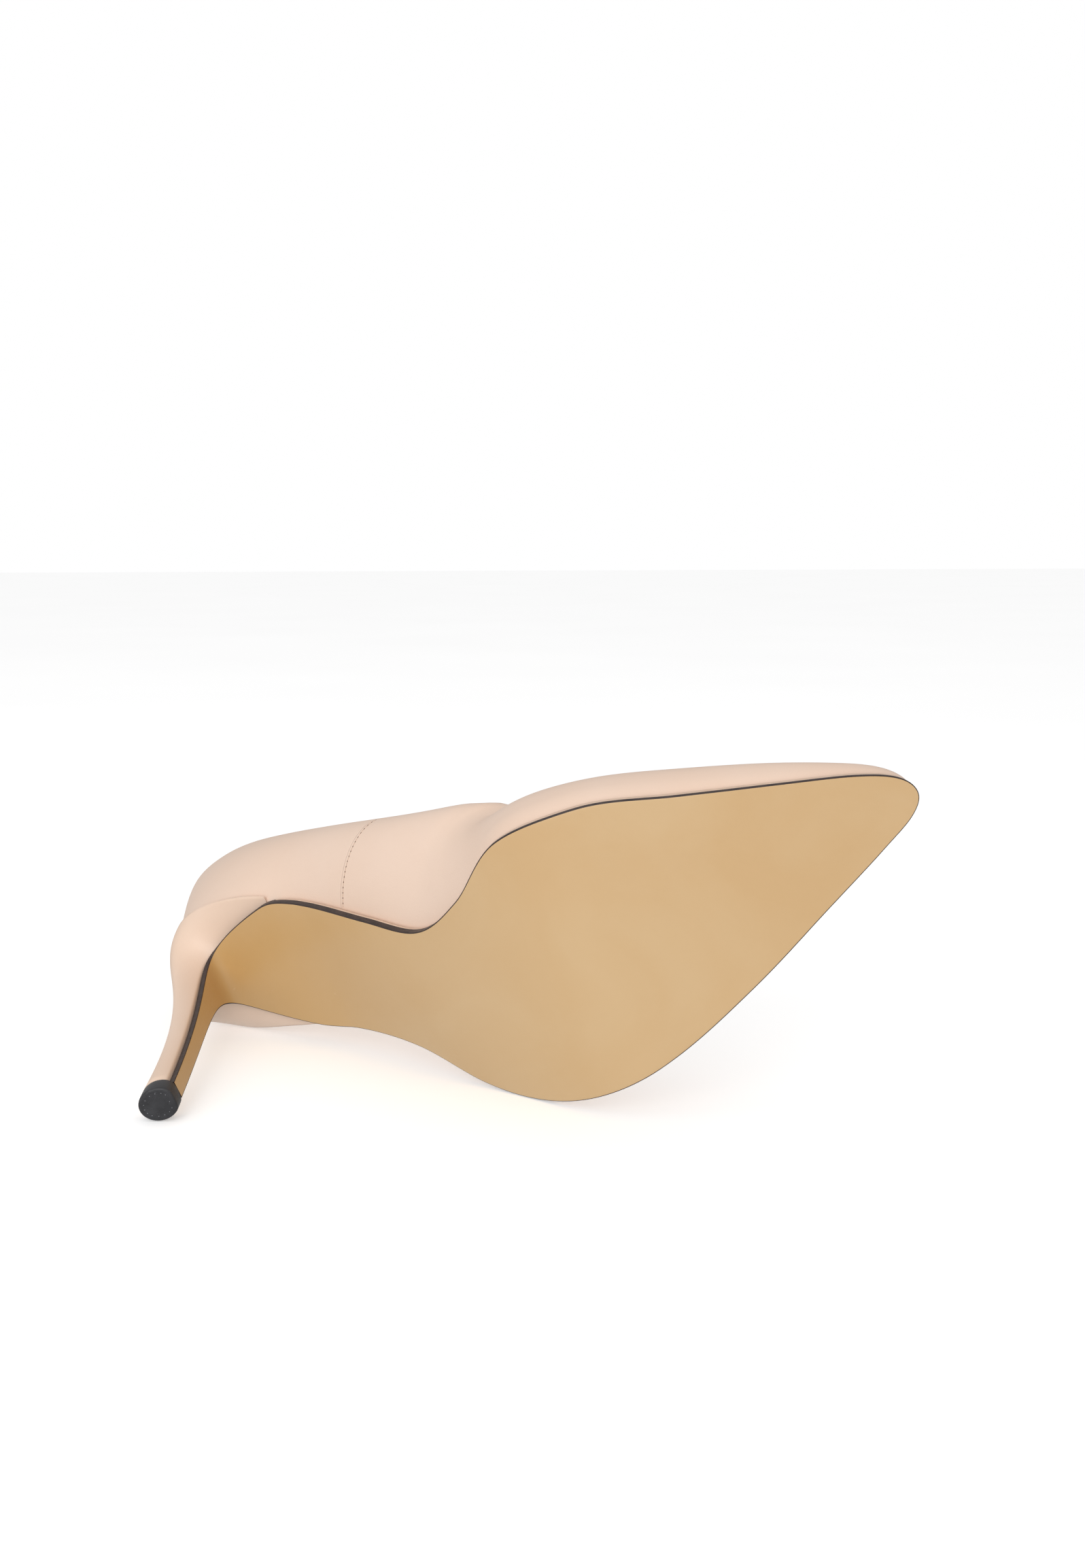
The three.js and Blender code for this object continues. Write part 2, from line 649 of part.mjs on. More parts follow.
// One line down the heel's side, from the seat's edge to the tip.
function heelLine(turn, side) {
  const edge = onLoop(soleLoop, turn * breastRow, side);
  const top = bottomPoint(edge.x, edge.y, OUTSOLE);
  const foot = tipEdge(turn, side, 0, TIP_DEPTH - FRONT_DROP);
  const end = new THREE.Vector3(foot.x, foot.y, tipFront.y);
  const forward = turn ** 1.6;
  const first = top
    .clone()
    .add(new THREE.Vector3(-0.44 * HEEL_HEIGHT * forward, 0, -0.17 * HEEL_HEIGHT))
    .add(new THREE.Vector3(0, 0, 0.4 * HEEL_HEIGHT * forward));
  first.y += (foot.y - first.y) * 0.95 * Math.sin((turn * Math.PI) / 2);
  const second = end.clone().add(new THREE.Vector3(3.8 - 4.4 * forward, 0, HEEL_HEIGHT * (0.6 + 0.27 * forward)));
  return new THREE.CubicBezierCurve3(top, first, second, end);
}

// Rows of points down one side of the heel, with the outward normals.
function heelGrid(side) {
  const lines = Array.from({ length: HEEL_COLUMNS + 1 }, (_, k) => heelLine(k / HEEL_COLUMNS, side));
  const rows = [lines.map((line) => line.getPoint(0).setZ(line.getPoint(0).z + RAISED))];
  for (let i = 0; i <= HEEL_ROWS; i++) rows.push(lines.map((line) => line.getPoint(i / HEEL_ROWS)));
  return rows;
}

function heelInset(grid, side, inset) {
  const last = grid[0].length - 1;
  return grid.map((row, i) =>
    row.map((p, k) => {
      const up = grid[Math.max(i - 1, 0)][k];
      const down = grid[Math.min(i + 1, grid.length - 1)][k];
      const before = k > 0 ? row[k - 1] : row[1].clone().setY(2 * p.y - row[1].y);
      const after = row[Math.min(k + 1, last)];
      const normal = new THREE.Vector3()
        .subVectors(down, up)
        .cross(new THREE.Vector3().subVectors(after, before))
        .multiplyScalar(-side)
        .normalize();
      return p.clone().addScaledVector(normal, -inset);
    }),
  );
}
const heelSides = { lateral: heelGrid(1), medial: heelGrid(-1) };
const heelSurface = (inset) => {
  const lateral = heelInset(heelSides.lateral, 1, inset);
  const medial = heelInset(heelSides.medial, -1, inset);
  return lateral.map((row, i) => [...medial[i].slice(1).reverse(), ...row]);
};
const coverGeometry = () => cut(gridSolid(heelSurface(0), heelSurface(HEEL_LEATHER)), aboveSeat, flapRoom());
function coreGeometry() {
  const inset = HEEL_LEATHER + GAP;
  const core = gridSolid(
    heelInset(heelSides.lateral, 1, inset),
    heelInset(heelSides.medial, -1, inset),
  );
  return cut(core, aboveSeat, flapRoom(), ...heelBores());
}

// ---- Heel hardware -----------------------------------------------------------------------------------------
const tubeFoot = new THREE.Vector3(tipMiddle.x, tipMiddle.y, TOP_PIECE + GAP);
const tubeAxis = new THREE.Vector3(-TUBE_LEAN, 0, 1).normalize();
const alongTube = (distance) => tubeFoot.clone().addScaledVector(tubeAxis, distance);
const lifted = (p, z) => new THREE.Vector3(p.x, p.y, z);
const screwPlace = bottomPoint(SCREW_AT, seatMiddle, BOARD_FLOOR);
const NAILS = [
  [8, 5.5],
  [8, -5.5],
  [15.5, 5.5],
  [15.5, -5.5],
].map(([s, y]) => bottomPoint(s, seatMiddle + y, BOARD_FLOOR));

// Bores down from the insole through everything below it.
function shaftBore(place, radius, length) {
  return bar(lifted(place, place.z + 8), lifted(place, place.z - length - 1), radius + GAP, 12);
}
const shaftBores = () => [
  shaftBore(screwPlace, SCREW_RADIUS, SCREW_LENGTH),
  ...NAILS.map((place) => shaftBore(place, NAIL_RADIUS, NAIL_LENGTH)),
];
const headBores = () => [
  shaftBore(screwPlace, SCREW_HEAD, SCREW_LENGTH),
  ...NAILS.map((place) => shaftBore(place, NAIL_HEAD, NAIL_LENGTH)),
];
const heelBores = () => [
  bar(alongTube(-2), alongTube(TUBE_LENGTH + 0.5), TUBE_RADIUS + GAP, 16),
  ...shaftBores(),
];

// A screw or nail driven straight down, its head bedded in the tuck board.
function driven(place, radius, head, length, sides) {
  const slab = solidOf(seatBlock(BOARD_FLOOR, BOARD_FLOOR + INNER_BOARD - 0.3));
  const cap = solidOf(bar(lifted(place, place.z + 8), lifted(place, place.z - 8), head, sides));
  const shaft = solidOf(bar(lifted(place, place.z + 0.3), lifted(place, place.z - length), radius, sides));
  return geometryOf(cap.intersect(slab).add(shaft));
}

function tubeGeometry() {
  const outer = bar(alongTube(0.3), alongTube(TUBE_LENGTH), TUBE_RADIUS, 16);
  return cut(outer, bar(alongTube(-1), alongTube(TUBE_LENGTH + 1), TUBE_BORE, 16));
}

// The top piece follows the heel's tip: rounded behind, flat in front under the flap.
function topPieceGeometry() {
  const steps = 12;
  const rim = [];
  for (let i = -steps; i <= steps; i++)
    rim.push(tipEdge(Math.abs(i) / steps, Math.sign(i) || 1, -0.15));
  const shape = new THREE.Shape(rim);
  const geometry = welded(new THREE.ExtrudeGeometry(shape, { depth: TOP_PIECE, bevelEnabled: false }));
  const hole = bar(alongTube(-SOCKET), alongTube(1), DOWEL_RADIUS + GAP, 16);
  return cut(geometry, hole);
}

const dowelGeometry = () => bar(alongTube(GAP - SOCKET), alongTube(DOWEL_LENGTH - SOCKET), DOWEL_RADIUS);

// ---- Shank ---------------------------------------------------------------------------------------------------
function spineAt(s) {
  const row = rowAt(s);
  return (onLoop(soleLoop, row, 1).y + onLoop(soleLoop, row, -1).y) / 2;
}

function alongSole(s, y, low, high, radius, sides = 12) {
  return bar(bottomPoint(s, y, low), bottomPoint(s, y, high), radius, sides);
}

function shankGeometry() {
  const count = 16;
  const grid = (rise) =>
    Array.from({ length: count + 1 }, (_, i) => {
      const s = SHANK_FROM + ((SHANK_TO - SHANK_FROM) * i) / count;
      return [-1, 0, 1].map((k) => bottomPoint(s, spineAt(s) + (k * SHANK_WIDTH) / 2, rise));
    });
  return cut(gridSolid(grid(SHANK_FLOOR), grid(SHANK_FLOOR + SHANK_STEEL)), ...shaftBores(), ...rivetBores());
}

const RIVET_AT = [46, 106];
const rivetBores = () =>
  RIVET_AT.map((s) => alongSole(s, spineAt(s), 0, 20, RIVET_RADIUS + GAP));
const rivetHeadBores = () =>
  RIVET_AT.map((s) => alongSole(s, spineAt(s), 0, 20, RIVET_HEAD + GAP));
const rivetGeometry = (s) =>
  joined(
    alongSole(s, spineAt(s), SHANK_FLOOR - 0.2, BOARD_FLOOR + 0.5, RIVET_RADIUS),
    alongSole(s, spineAt(s), BOARD_FLOOR, BOARD_FLOOR + 0.9, RIVET_HEAD),
  );

// ---- The shoe ---------------------------------------------------------------------------------------------------
const shoe = new THREE.Group();

function add(name, geometry, color, roughness, metalness = 0) {
  const mesh = new THREE.Mesh(geometry, new THREE.MeshStandardMaterial({ color, roughness, metalness }));
  mesh.name = name;
  shoe.add(mesh);
}

const upperTo = UPPER_PLY + UPPER_LEATHER;
const nude = "#e9cdb8";
add("vamp_upper", cut(ply(vampLoop, UPPER_PLY, upperTo, WHOLE, SEAM_SHIFT)), nude, 0.5);
add("back_quarter", cut(ply(quarterLoop, UPPER_PLY, upperTo, WHOLE), ...shaftBores()), nude, 0.5);
add("vamp_lining", ply(vampLoop, 0, LINING, WHOLE, SEAM_SHIFT), "#d9bfa4", 0.7);
add("quarter_lining", cut(ply(quarterLoop, 0, LINING, WHOLE), ...shaftBores()), "#d9bfa4", 0.7);
add("toe_puff", ply(puffLoop, stiffenerFrom, stiffenerFrom + STIFFENER, BELOW_TOP), "#ded6c4", 0.9);
add(
  "heel_counter",
  cut(ply(counterLoop, stiffenerFrom, stiffenerFrom + STIFFENER, BELOW_TOP), ...shaftBores()),
  "#ded6c4",
  0.9,
);
add(
  "insole_board",
  cut(board(0, SOLE_LENGTH, INSOLE_FLOOR, INSOLE, insoleEdge), ...shaftBores(), ...rivetBores()),
  "#b89a72",
  0.9,
);
add(
  "tuck_board",
  cut(
    board(0, FOAM_FROM - FIT, BOARD_FLOOR, INNER_BOARD, sockEdge),
    ...headBores(),
    ...rivetHeadBores(),
  ),
  "#9c7a54",
  0.9,
);
add("ball_pad", board(FOAM_FROM, SOLE_LENGTH, BOARD_FLOOR, INNER_BOARD, sockEdge), "#efe6d8", 1);
add("sock_lining", board(0, SOLE_LENGTH, SOCK_FLOOR, SOCK, sockEdge), "#dcc2a6", 0.6);
add("steel_shank", shankGeometry(), "#8b8f94", 0.35, 1);
add("shank_rivet_rear", rivetGeometry(RIVET_AT[0]), "#b08d57", 0.4, 1);
add("shank_rivet_front", rivetGeometry(RIVET_AT[1]), "#b08d57", 0.4, 1);
add(
  "forepart_filler",
  board(SHANK_TO + 2, SOLE_LENGTH, MARGIN_FLOOR, MARGIN_TOP - MARGIN_FLOOR, fillerEdge),
  "#a98658",
  1,
);
add("outsole", outsoleGeometry(), "#d3b07e", 0.4);
add("heel_core", coreGeometry(), "#e8e4da", 0.5);
add("heel_cover", coverGeometry(), nude, 0.5);
add("heel_tube", tubeGeometry(), "#8b8f94", 0.35, 1);
add("heel_screw", driven(screwPlace, SCREW_RADIUS, SCREW_HEAD, SCREW_LENGTH, 16), "#8b8f94", 0.35, 1);
NAILS.forEach((place, i) =>
  add(`heel_nail_${i + 1}`, driven(place, NAIL_RADIUS, NAIL_HEAD, NAIL_LENGTH, 10), "#8b8f94", 0.35, 1),
);
add("top_piece", topPieceGeometry(), "#2b2d31", 0.6);
add("top_piece_dowel", dowelGeometry(), "#8b8f94", 0.35, 1);

// The origin is under the middle of the whole shoe.
const extent = new THREE.Box3().setFromObject(shoe).getCenter(new THREE.Vector3());
shoe.position.set(-extent.x, -extent.y, 0);

export default shoe;
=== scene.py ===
import json
import math

import bmesh
import bpy
import numpy as np
from mathutils import Matrix, Vector

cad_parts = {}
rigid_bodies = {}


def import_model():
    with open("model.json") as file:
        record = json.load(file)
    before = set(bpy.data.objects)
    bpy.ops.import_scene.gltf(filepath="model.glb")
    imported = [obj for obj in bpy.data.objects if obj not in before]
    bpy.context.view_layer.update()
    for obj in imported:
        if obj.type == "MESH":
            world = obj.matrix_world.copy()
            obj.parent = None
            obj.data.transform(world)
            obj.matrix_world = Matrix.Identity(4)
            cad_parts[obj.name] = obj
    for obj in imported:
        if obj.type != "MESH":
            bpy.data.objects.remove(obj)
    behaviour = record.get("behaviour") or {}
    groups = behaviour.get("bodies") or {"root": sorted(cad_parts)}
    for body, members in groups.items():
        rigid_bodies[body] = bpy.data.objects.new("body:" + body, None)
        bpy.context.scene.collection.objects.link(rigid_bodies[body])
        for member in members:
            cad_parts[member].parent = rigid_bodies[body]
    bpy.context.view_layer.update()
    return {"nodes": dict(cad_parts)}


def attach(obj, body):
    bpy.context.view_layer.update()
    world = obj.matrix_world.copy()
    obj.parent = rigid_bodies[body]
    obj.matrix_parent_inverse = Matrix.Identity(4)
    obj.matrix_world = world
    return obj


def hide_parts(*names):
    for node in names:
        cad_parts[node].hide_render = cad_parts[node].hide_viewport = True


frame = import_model()
nodes = frame["nodes"]

# ---- Camera ----------------------------------------------------------------------------------------
# The shoe lies on its lateral side and is seen from just above the table, with the sole and the heel
# turned to the camera. The three directions are the picture's right, up and back in the shoe's axes. They,
# the place in metres and the lens in millimetres are the results of a least-squares fit, rounded.
view_right = Vector((0.9275, 0.3739, -0.0040))
view_up = Vector((0.3577, -0.8841, 0.3006))
view_back = Vector((0.1089, -0.2802, -0.9537))
VIEW_PLACE = Vector((0.07127, -0.15900, -0.38165))
LENS_LENGTH = 37.83
lens = bpy.data.cameras.new("view")
lens.lens = LENS_LENGTH
lens.sensor_width = 36
lens.clip_start = 0.01
lens.clip_end = 100
camera = bpy.data.objects.new("view", lens)
turned = Matrix((view_right, view_up, view_back)).transposed().to_4x4()
camera.matrix_world = Matrix.Translation(VIEW_PLACE) @ turned
bpy.context.scene.collection.objects.link(camera)
bpy.context.scene.camera = camera

# ---- Insole board and tuck board -------------------------------------------------------------------
# Pressed cellulose board cut to the bottom of the last, and a harder board stiffening it from the heel
# to the front of the arch. The upper is cemented over their edge. Both keep the solids' shapes.


def put(tree, kind, sockets=None, **settings):
    """A shader node; a socket given as a value is linked, and anything else is set."""
    node = tree.nodes.new(kind)
    for name, value in settings.items():
        setattr(node, name, value)
    for name, value in (sockets or {}).items():
        if isinstance(value, bpy.types.NodeSocket):
            tree.links.new(value, node.inputs[name])
        else:
            node.inputs[name].default_value = value
    return node


def colour(red, green, blue):
    """A colour as it looks on a screen, from 0 to 255, turned into a linear one."""
    shares = [c / 255 for c in (red, green, blue)]
    return tuple(c / 12.92 if c < 0.04045 else ((c + 0.055) / 1.055) ** 2.4 for c in shares) + (1,)


def mixed(tree, share, first, second):
    return put(tree, "ShaderNodeMix", {0: share, 6: first, 7: second}, data_type="RGBA").outputs[2]


def reckoned(tree, operation, *numbers):
    return put(tree, "ShaderNodeMath", dict(enumerate(numbers)), operation=operation).outputs[0]


def ranged(tree, value, low, high, to_low=0.0, to_high=1.0):
    limits = {"Value": value, "From Min": low, "From Max": high, "To Min": to_low, "To Max": to_high}
    return put(tree, "ShaderNodeMapRange", limits).outputs["Result"]


def noise(tree, place, scale, detail=3.0, distortion=0.0):
    settings = {"Vector": place, "Scale": scale, "Detail": detail, "Distortion": distortion}
    return put(tree, "ShaderNodeTexNoise", settings).outputs["Fac"]


def object_place(tree):
    return put(tree, "ShaderNodeTexCoord").outputs["Object"]


def effect(name, inputs):
    """An empty shared effect: its group, its named inputs, and its colour, roughness and height outputs."""
    group = bpy.data.node_groups.new(name, "ShaderNodeTree")
    for label, kind, value in inputs:
        socket = group.interface.new_socket(label, in_out="INPUT", socket_type="NodeSocket" + kind)
        socket.default_value = value
    for label, kind in (("Colour", "Color"), ("Roughness", "Float"), ("Height", "Float")):
        group.interface.new_socket(label, in_out="OUTPUT", socket_type="NodeSocket" + kind)
    return group, put(group, "NodeGroupInput").outputs, put(group, "NodeGroupOutput").inputs


def finish(name, group, values, depth, **plain):
    """A finish with a shared effect placed in it. depth is the relief in metres, plain the even numbers."""
    material = bpy.data.materials.new(name)
    material.use_nodes = True
    tree = material.node_tree
    shader = tree.nodes["Principled BSDF"]
    for label, value in plain.items():
        shader.inputs[label.replace("_", " ")].default_value = value
    made = put(tree, "ShaderNodeGroup", node_tree=group)
    for label, value in values.items():
        made.inputs[label].default_value = value
    tree.links.new(made.outputs["Colour"], shader.inputs["Base Color"])
    tree.links.new(made.outputs["Roughness"], shader.inputs["Roughness"])
    bump = put(tree, "ShaderNodeBump", {"Strength": 0.8, "Distance": depth, "Height": made.outputs["Height"]})
    tree.links.new(bump.outputs["Normal"], shader.inputs["Normal"])
    return material


def wear(node_name, material):
    """Gives a solid that keeps its shape its finish."""
    for slot in nodes[node_name].material_slots:
        slot.material = material


fibres, given, out = effect(
    "pressed_fibres",
    [
        ("Colour", "Color", (0.5, 0.4, 0.3, 1)),
        ("Fibre colour", "Color", (0.3, 0.2, 0.1, 1)),
        ("Scale", "Float", 900.0),
        ("Base roughness", "Float", 0.8),
    ],
)
fibre_stretch = {"Vector": object_place(fibres), "Scale": (1, 4, 4)}
fibre_place = put(fibres, "ShaderNodeMapping", fibre_stretch).outputs[0]
fibre_fleck = noise(fibres, fibre_place, given["Scale"], 5.0, 0.6)
fleck = ranged(fibres, fibre_fleck, 0.52, 0.7)
fibres.links.new(mixed(fibres, fleck, given["Colour"], given["Fibre colour"]), out["Colour"])
fibres.links.new(reckoned(fibres, "MULTIPLY_ADD", fleck, 0.1, given["Base roughness"]), out["Roughness"])
fibres.links.new(fibre_fleck, out["Height"])

insole_board = finish(
    "insole_fibreboard",
    fibres,
    {"Colour": colour(186, 158, 118), "Fibre colour": colour(140, 110, 76), "Scale": 900.0},
    0.00012,
)
tuck_board = finish(
    "tuck_fibreboard",
    fibres,
    {"Colour": colour(150, 118, 82), "Fibre colour": colour(104, 76, 50), "Scale": 1300.0},
    0.0001,
)
wear("insole_board", insole_board)
wear("tuck_board", tuck_board)

# ---- Shank and its rivets --------------------------------------------------------------------------
# A ribbon of rolled spring steel under the insole, which holds up the arch, and two brass tubular rivets
# that clench it to the boards. All three keep the solids' shapes.
drawn, given, out = effect(
    "drawn_metal",
    [
        ("Colour", "Color", (0.5, 0.5, 0.5, 1)),
        ("Tarnish", "Color", (0.3, 0.3, 0.3, 1)),
        ("Base roughness", "Float", 0.3),
    ],
)
drawn_stretch = {"Vector": object_place(drawn), "Scale": (1, 12, 12)}
drawn_place = put(drawn, "ShaderNodeMapping", drawn_stretch).outputs[0]
lines = noise(drawn, drawn_place, 700.0, 4.0)
patches = ranged(drawn, noise(drawn, object_place(drawn), 180.0), 0.5, 0.75)
drawn.links.new(mixed(drawn, patches, given["Colour"], given["Tarnish"]), out["Colour"])
drawn.links.new(reckoned(drawn, "MULTIPLY_ADD", lines, 0.25, given["Base roughness"]), out["Roughness"])
drawn.links.new(lines, out["Height"])

spring_steel = finish(
    "spring_steel",
    drawn,
    {"Colour": colour(150, 154, 160), "Tarnish": colour(104, 110, 122), "Base roughness": 0.24},
    0.00002,
    Metallic=1.0,
)
rivet_brass = finish(
    "rivet_brass",
    drawn,
    {"Colour": colour(200, 168, 104), "Tarnish": colour(150, 112, 62), "Base roughness": 0.2},
    0.00002,
    Metallic=1.0,
)
wear("steel_shank", spring_steel)
wear("shank_rivet_rear", rivet_brass)
wear("shank_rivet_front", rivet_brass)

# ---- Vamp and quarter linings ----------------------------------------------------------------------
# Thin beige kid leather next to the foot, sewn into a sock-like shape, pulled down over the last and
# turned in under the insole. Millimetres here, toe to +X and lateral side to +Y.
LENGTH = 225.0
HEEL_HEIGHT = 88.8
BACK_HEIGHT = 60.0
THROAT_RISE = 43.0
TOE_SPRING = 5.0
BACK_X = -LENGTH / 2
CENTRED = np.array([-0.122, -1.948, 0.0])  # onto the frame's origin, under the middle of the shoe


def bezier(corners, t):
    t = np.asarray(t, float)[..., None]
    layer = [np.asarray(c, float) for c in corners]
    while len(layer) > 1:
        layer = [a + (b - a) * t for a, b in zip(layer, layer[1:])]
    return layer[0]


def unit(v):
    return v / np.maximum(np.linalg.norm(v, axis=-1, keepdims=True), 1e-12)


# The underside in side view: a straight seat, the arch, a flat tread and the lift of the toe.
pitch = math.radians(27)
seat_front = np.array([BACK_X + 0.2 * LENGTH, HEEL_HEIGHT - 0.2 * LENGTH * math.tan(pitch)])
seat_pull = 0.12 * LENGTH * np.array([math.cos(pitch), -math.sin(pitch)])
tread_back = np.array([0.126 * LENGTH, 0.0])
tread_front = np.array([0.282 * LENGTH, 0.0])
toe_tip = np.array([BACK_X + LENGTH, TOE_SPRING])
stretches = [
    [(BACK_X, HEEL_HEIGHT), seat_front],
    [seat_front, seat_front + seat_pull, tread_back - (0.16 * LENGTH, 0), tread_back],
    [tread_back, tread_front],
    [tread_front, ((tread_front[0] + toe_tip[0]) / 2, 0), toe_tip],
]
fine = np.linspace(0, 1, 400)
path = np.vstack([bezier(s, fine)[1 if i else 0 :] for i, s in enumerate(stretches)])
run = np.concatenate([[0], np.cumsum(np.linalg.norm(np.diff(path, axis=0), axis=1))])
SOLE_LENGTH = run[-1]
slope = unit(np.gradient(path, run, axis=0))


def over_sole(s, y, rise):
    """The place at a distance s along the underside from the back, y across, and rise above it."""
    s, y, rise = np.broadcast_arrays(np.asarray(s, float), y, rise)
    inside = np.clip(s, 0.01, SOLE_LENGTH - 0.01)
    x, z = (np.interp(inside, run, path[:, i]) for i in (0, 1))
    along_x, along_z = (np.interp(inside, run, slope[:, i]) for i in (0, 1))
    ahead = s - inside
    return np.stack([x + along_x * ahead - along_z * rise, y, z + along_z * ahead + along_x * rise], -1)


def spline(points, t):
    """A curve through all the points but the first and last, which only set its direction."""
    t = np.asarray(t, float)
    i = np.clip(np.floor(t).astype(int), 1, len(points) - 3)
    w = (t - i)[..., None]
    before, a, b, after = points[i - 1], points[i], points[i + 1], points[i + 2]
    leave, arrive = (b - before) / 2, (after - a) / 2
    cubic = (2 * a - 2 * b + leave + arrive) * w**3
    return cubic + (3 * b - 3 * a - 2 * leave - arrive) * w**2 + leave * w + a


# The sole's outline, row by row from the back: share of its length, and its lateral and medial edges. They
# are a least-squares fit's edges, read at these shares and rounded, with the first four rows narrowed.
OUTLINE = np.array(
    [
        [0.023, 12.8, -15],
        [0.07, 18.6, -22.6],
        [0.148, 20.4, -24.4],
        [0.25, 22, -20],
        [0.351, 27, -14.5],
        [0.437, 37, -11.2],
        [0.515, 41.8, -19.6],
        [0.593, 41.6, -34],
        [0.686, 36, -36],
        [0.78, 25.6, -29.8],
        [0.874, 13, -23.2],
        [0.947, 3.8, -17.4],
        [0.987, -1.6, -12.2],
    ]
)
SEAT_CENTRE = -0.8
TOE_CENTRE = -6.6
LAST_ROW = len(OUTLINE) + 1
lateral_rows = np.column_stack([OUTLINE[:, 0] * SOLE_LENGTH, OUTLINE[:, 1]])
medial_rows = np.column_stack([OUTLINE[:, 0] * SOLE_LENGTH, OUTLINE[:, 2]])
back_end = [[0, SEAT_CENTRE]]
toe_end = [[SOLE_LENGTH, TOE_CENTRE]]
outlines = {
    1: np.vstack([medial_rows[:1], back_end, lateral_rows, toe_end, medial_rows[-1:]]),
    -1: np.vstack([lateral_rows[:1], back_end, medial_rows, toe_end, lateral_rows[-1:]]),
}


def edge(row, side, inset=0.0):
    """The sole's edge at a row, moved inwards, as a distance along and across the sole."""
    row = np.asarray(row, float)
    a = spline(outlines[side], np.maximum(row - 0.02, 0) + 1)
    b = spline(outlines[side], np.minimum(row + 0.02, LAST_ROW) + 1)
    outward = unit(np.stack([-(b - a)[..., 1] * side, (b - a)[..., 0] * side], -1))
    outward[row <= 0] = (-1, 0)
    outward[row >= LAST_ROW] = (1, 0)
    return spline(outlines[side], row + 1) - outward * inset, outward


all_rows = np.linspace(0, LAST_ROW, 2801)


def row_at(s):
    return np.interp(s, edge(all_rows, 1)[0][:, 0], all_rows)


# Where the wall from each row ends: the topline, and from the throat on the ridge of the toe. A share of
# the length, the height above the underside there, and the lateral and medial y.
THROAT_ROW = 8
POLE_ROW = 12
TOP = np.array(
    [
        [0.034, BACK_HEIGHT, -2, -2],
        [0.046, BACK_HEIGHT - 3, 10, -12.5],
        [0.079, BACK_HEIGHT - 9, 17.5, -19.5],
        [0.165, BACK_HEIGHT - 18, 23, -25.5],
        [0.3, BACK_HEIGHT - 25, 27.5, -28.5],
        [0.425, BACK_HEIGHT - 23, 30.5, -29],
        [0.525, THROAT_RISE - 1.5, 30, -26],
        [0.585, THROAT_RISE + 0.5, 20.5, -18.5],
        [0.608, THROAT_RISE, 1.5, 1.5],
        [0.68, 0.85 * THROAT_RISE, 1, 1],
        [0.76, 0.69 * THROAT_RISE, -1, -1],
        [0.84, 0.52 * THROAT_RISE, -3.5, -3.5],
        [0.91, 0.37 * THROAT_RISE, -5.2, -5.2],
    ]
)
# How far the wall swells past the sole's edge at each row, lateral and medial.
SWELL = np.array(
    [
        [2.5, 2.5],
        [3.5, 3],
        [4.5, 4],
        [5.5, 6.5],
        [6.5, 10],
        [6, 14],
        [4, 17.5],
        [3.5, 17],
        [4, 10.6],
        [4.5, 8.6],
        [4.5, 8.5],
        [4.5, 7],
        [4, 3.8],
        [3.5, 2.6],
        [3, 3],
    ]
)
RIDGE_FALL = 0.36
top_x = BACK_X + TOP[:, 0] * LENGTH
top_z = np.interp(top_x, path[:, 0], path[:, 1]) + TOP[:, 1]
tops = {side: np.column_stack([top_x, TOP[:, 2 if side > 0 else 3], top_z]) for side in (1, -1)}


def wall_top(row, side):
    opening = np.vstack([tops[-side][1], tops[side][: THROAT_ROW + 1], tops[-side][THROAT_ROW - 1]])
    ridge = tops[side][THROAT_ROW:]
    ridge = np.vstack([2 * ridge[0] - ridge[1], ridge, 2 * ridge[-1] - ridge[-2]])
    around = spline(opening, np.minimum(row, THROAT_ROW) + 1)
    ahead = spline(ridge, np.clip(row, THROAT_ROW, POLE_ROW) - THROAT_ROW + 1)
    return np.where((row <= THROAT_ROW)[:, None], around, ahead)


# The seam leans forward on its way up, and the wall's columns with it, by this many rows at the topline.
SEAM_ROW = 4.5
SEAM_LEAN = 0.16

# Thicknesses of the sheets, and the heights above the underside that follow from them.
LINING = 0.7
UPPER_PLY = 1.6
UPPER_LEATHER = 1.0
FEATHER_INSET = 3.0
MARGIN_TOP = 5.4
MARGIN = 9.0


def smooth_step(value, low, high):
    t = np.clip((value - low) / (high - low), 0, 1)
    return t * t * (3 - 2 * t)


def smoother_step(value, low, high):
    t = np.clip((value - low) / (high - low), 0, 1)
    return t**3 * (t * (t * 6 - 15) + 10)


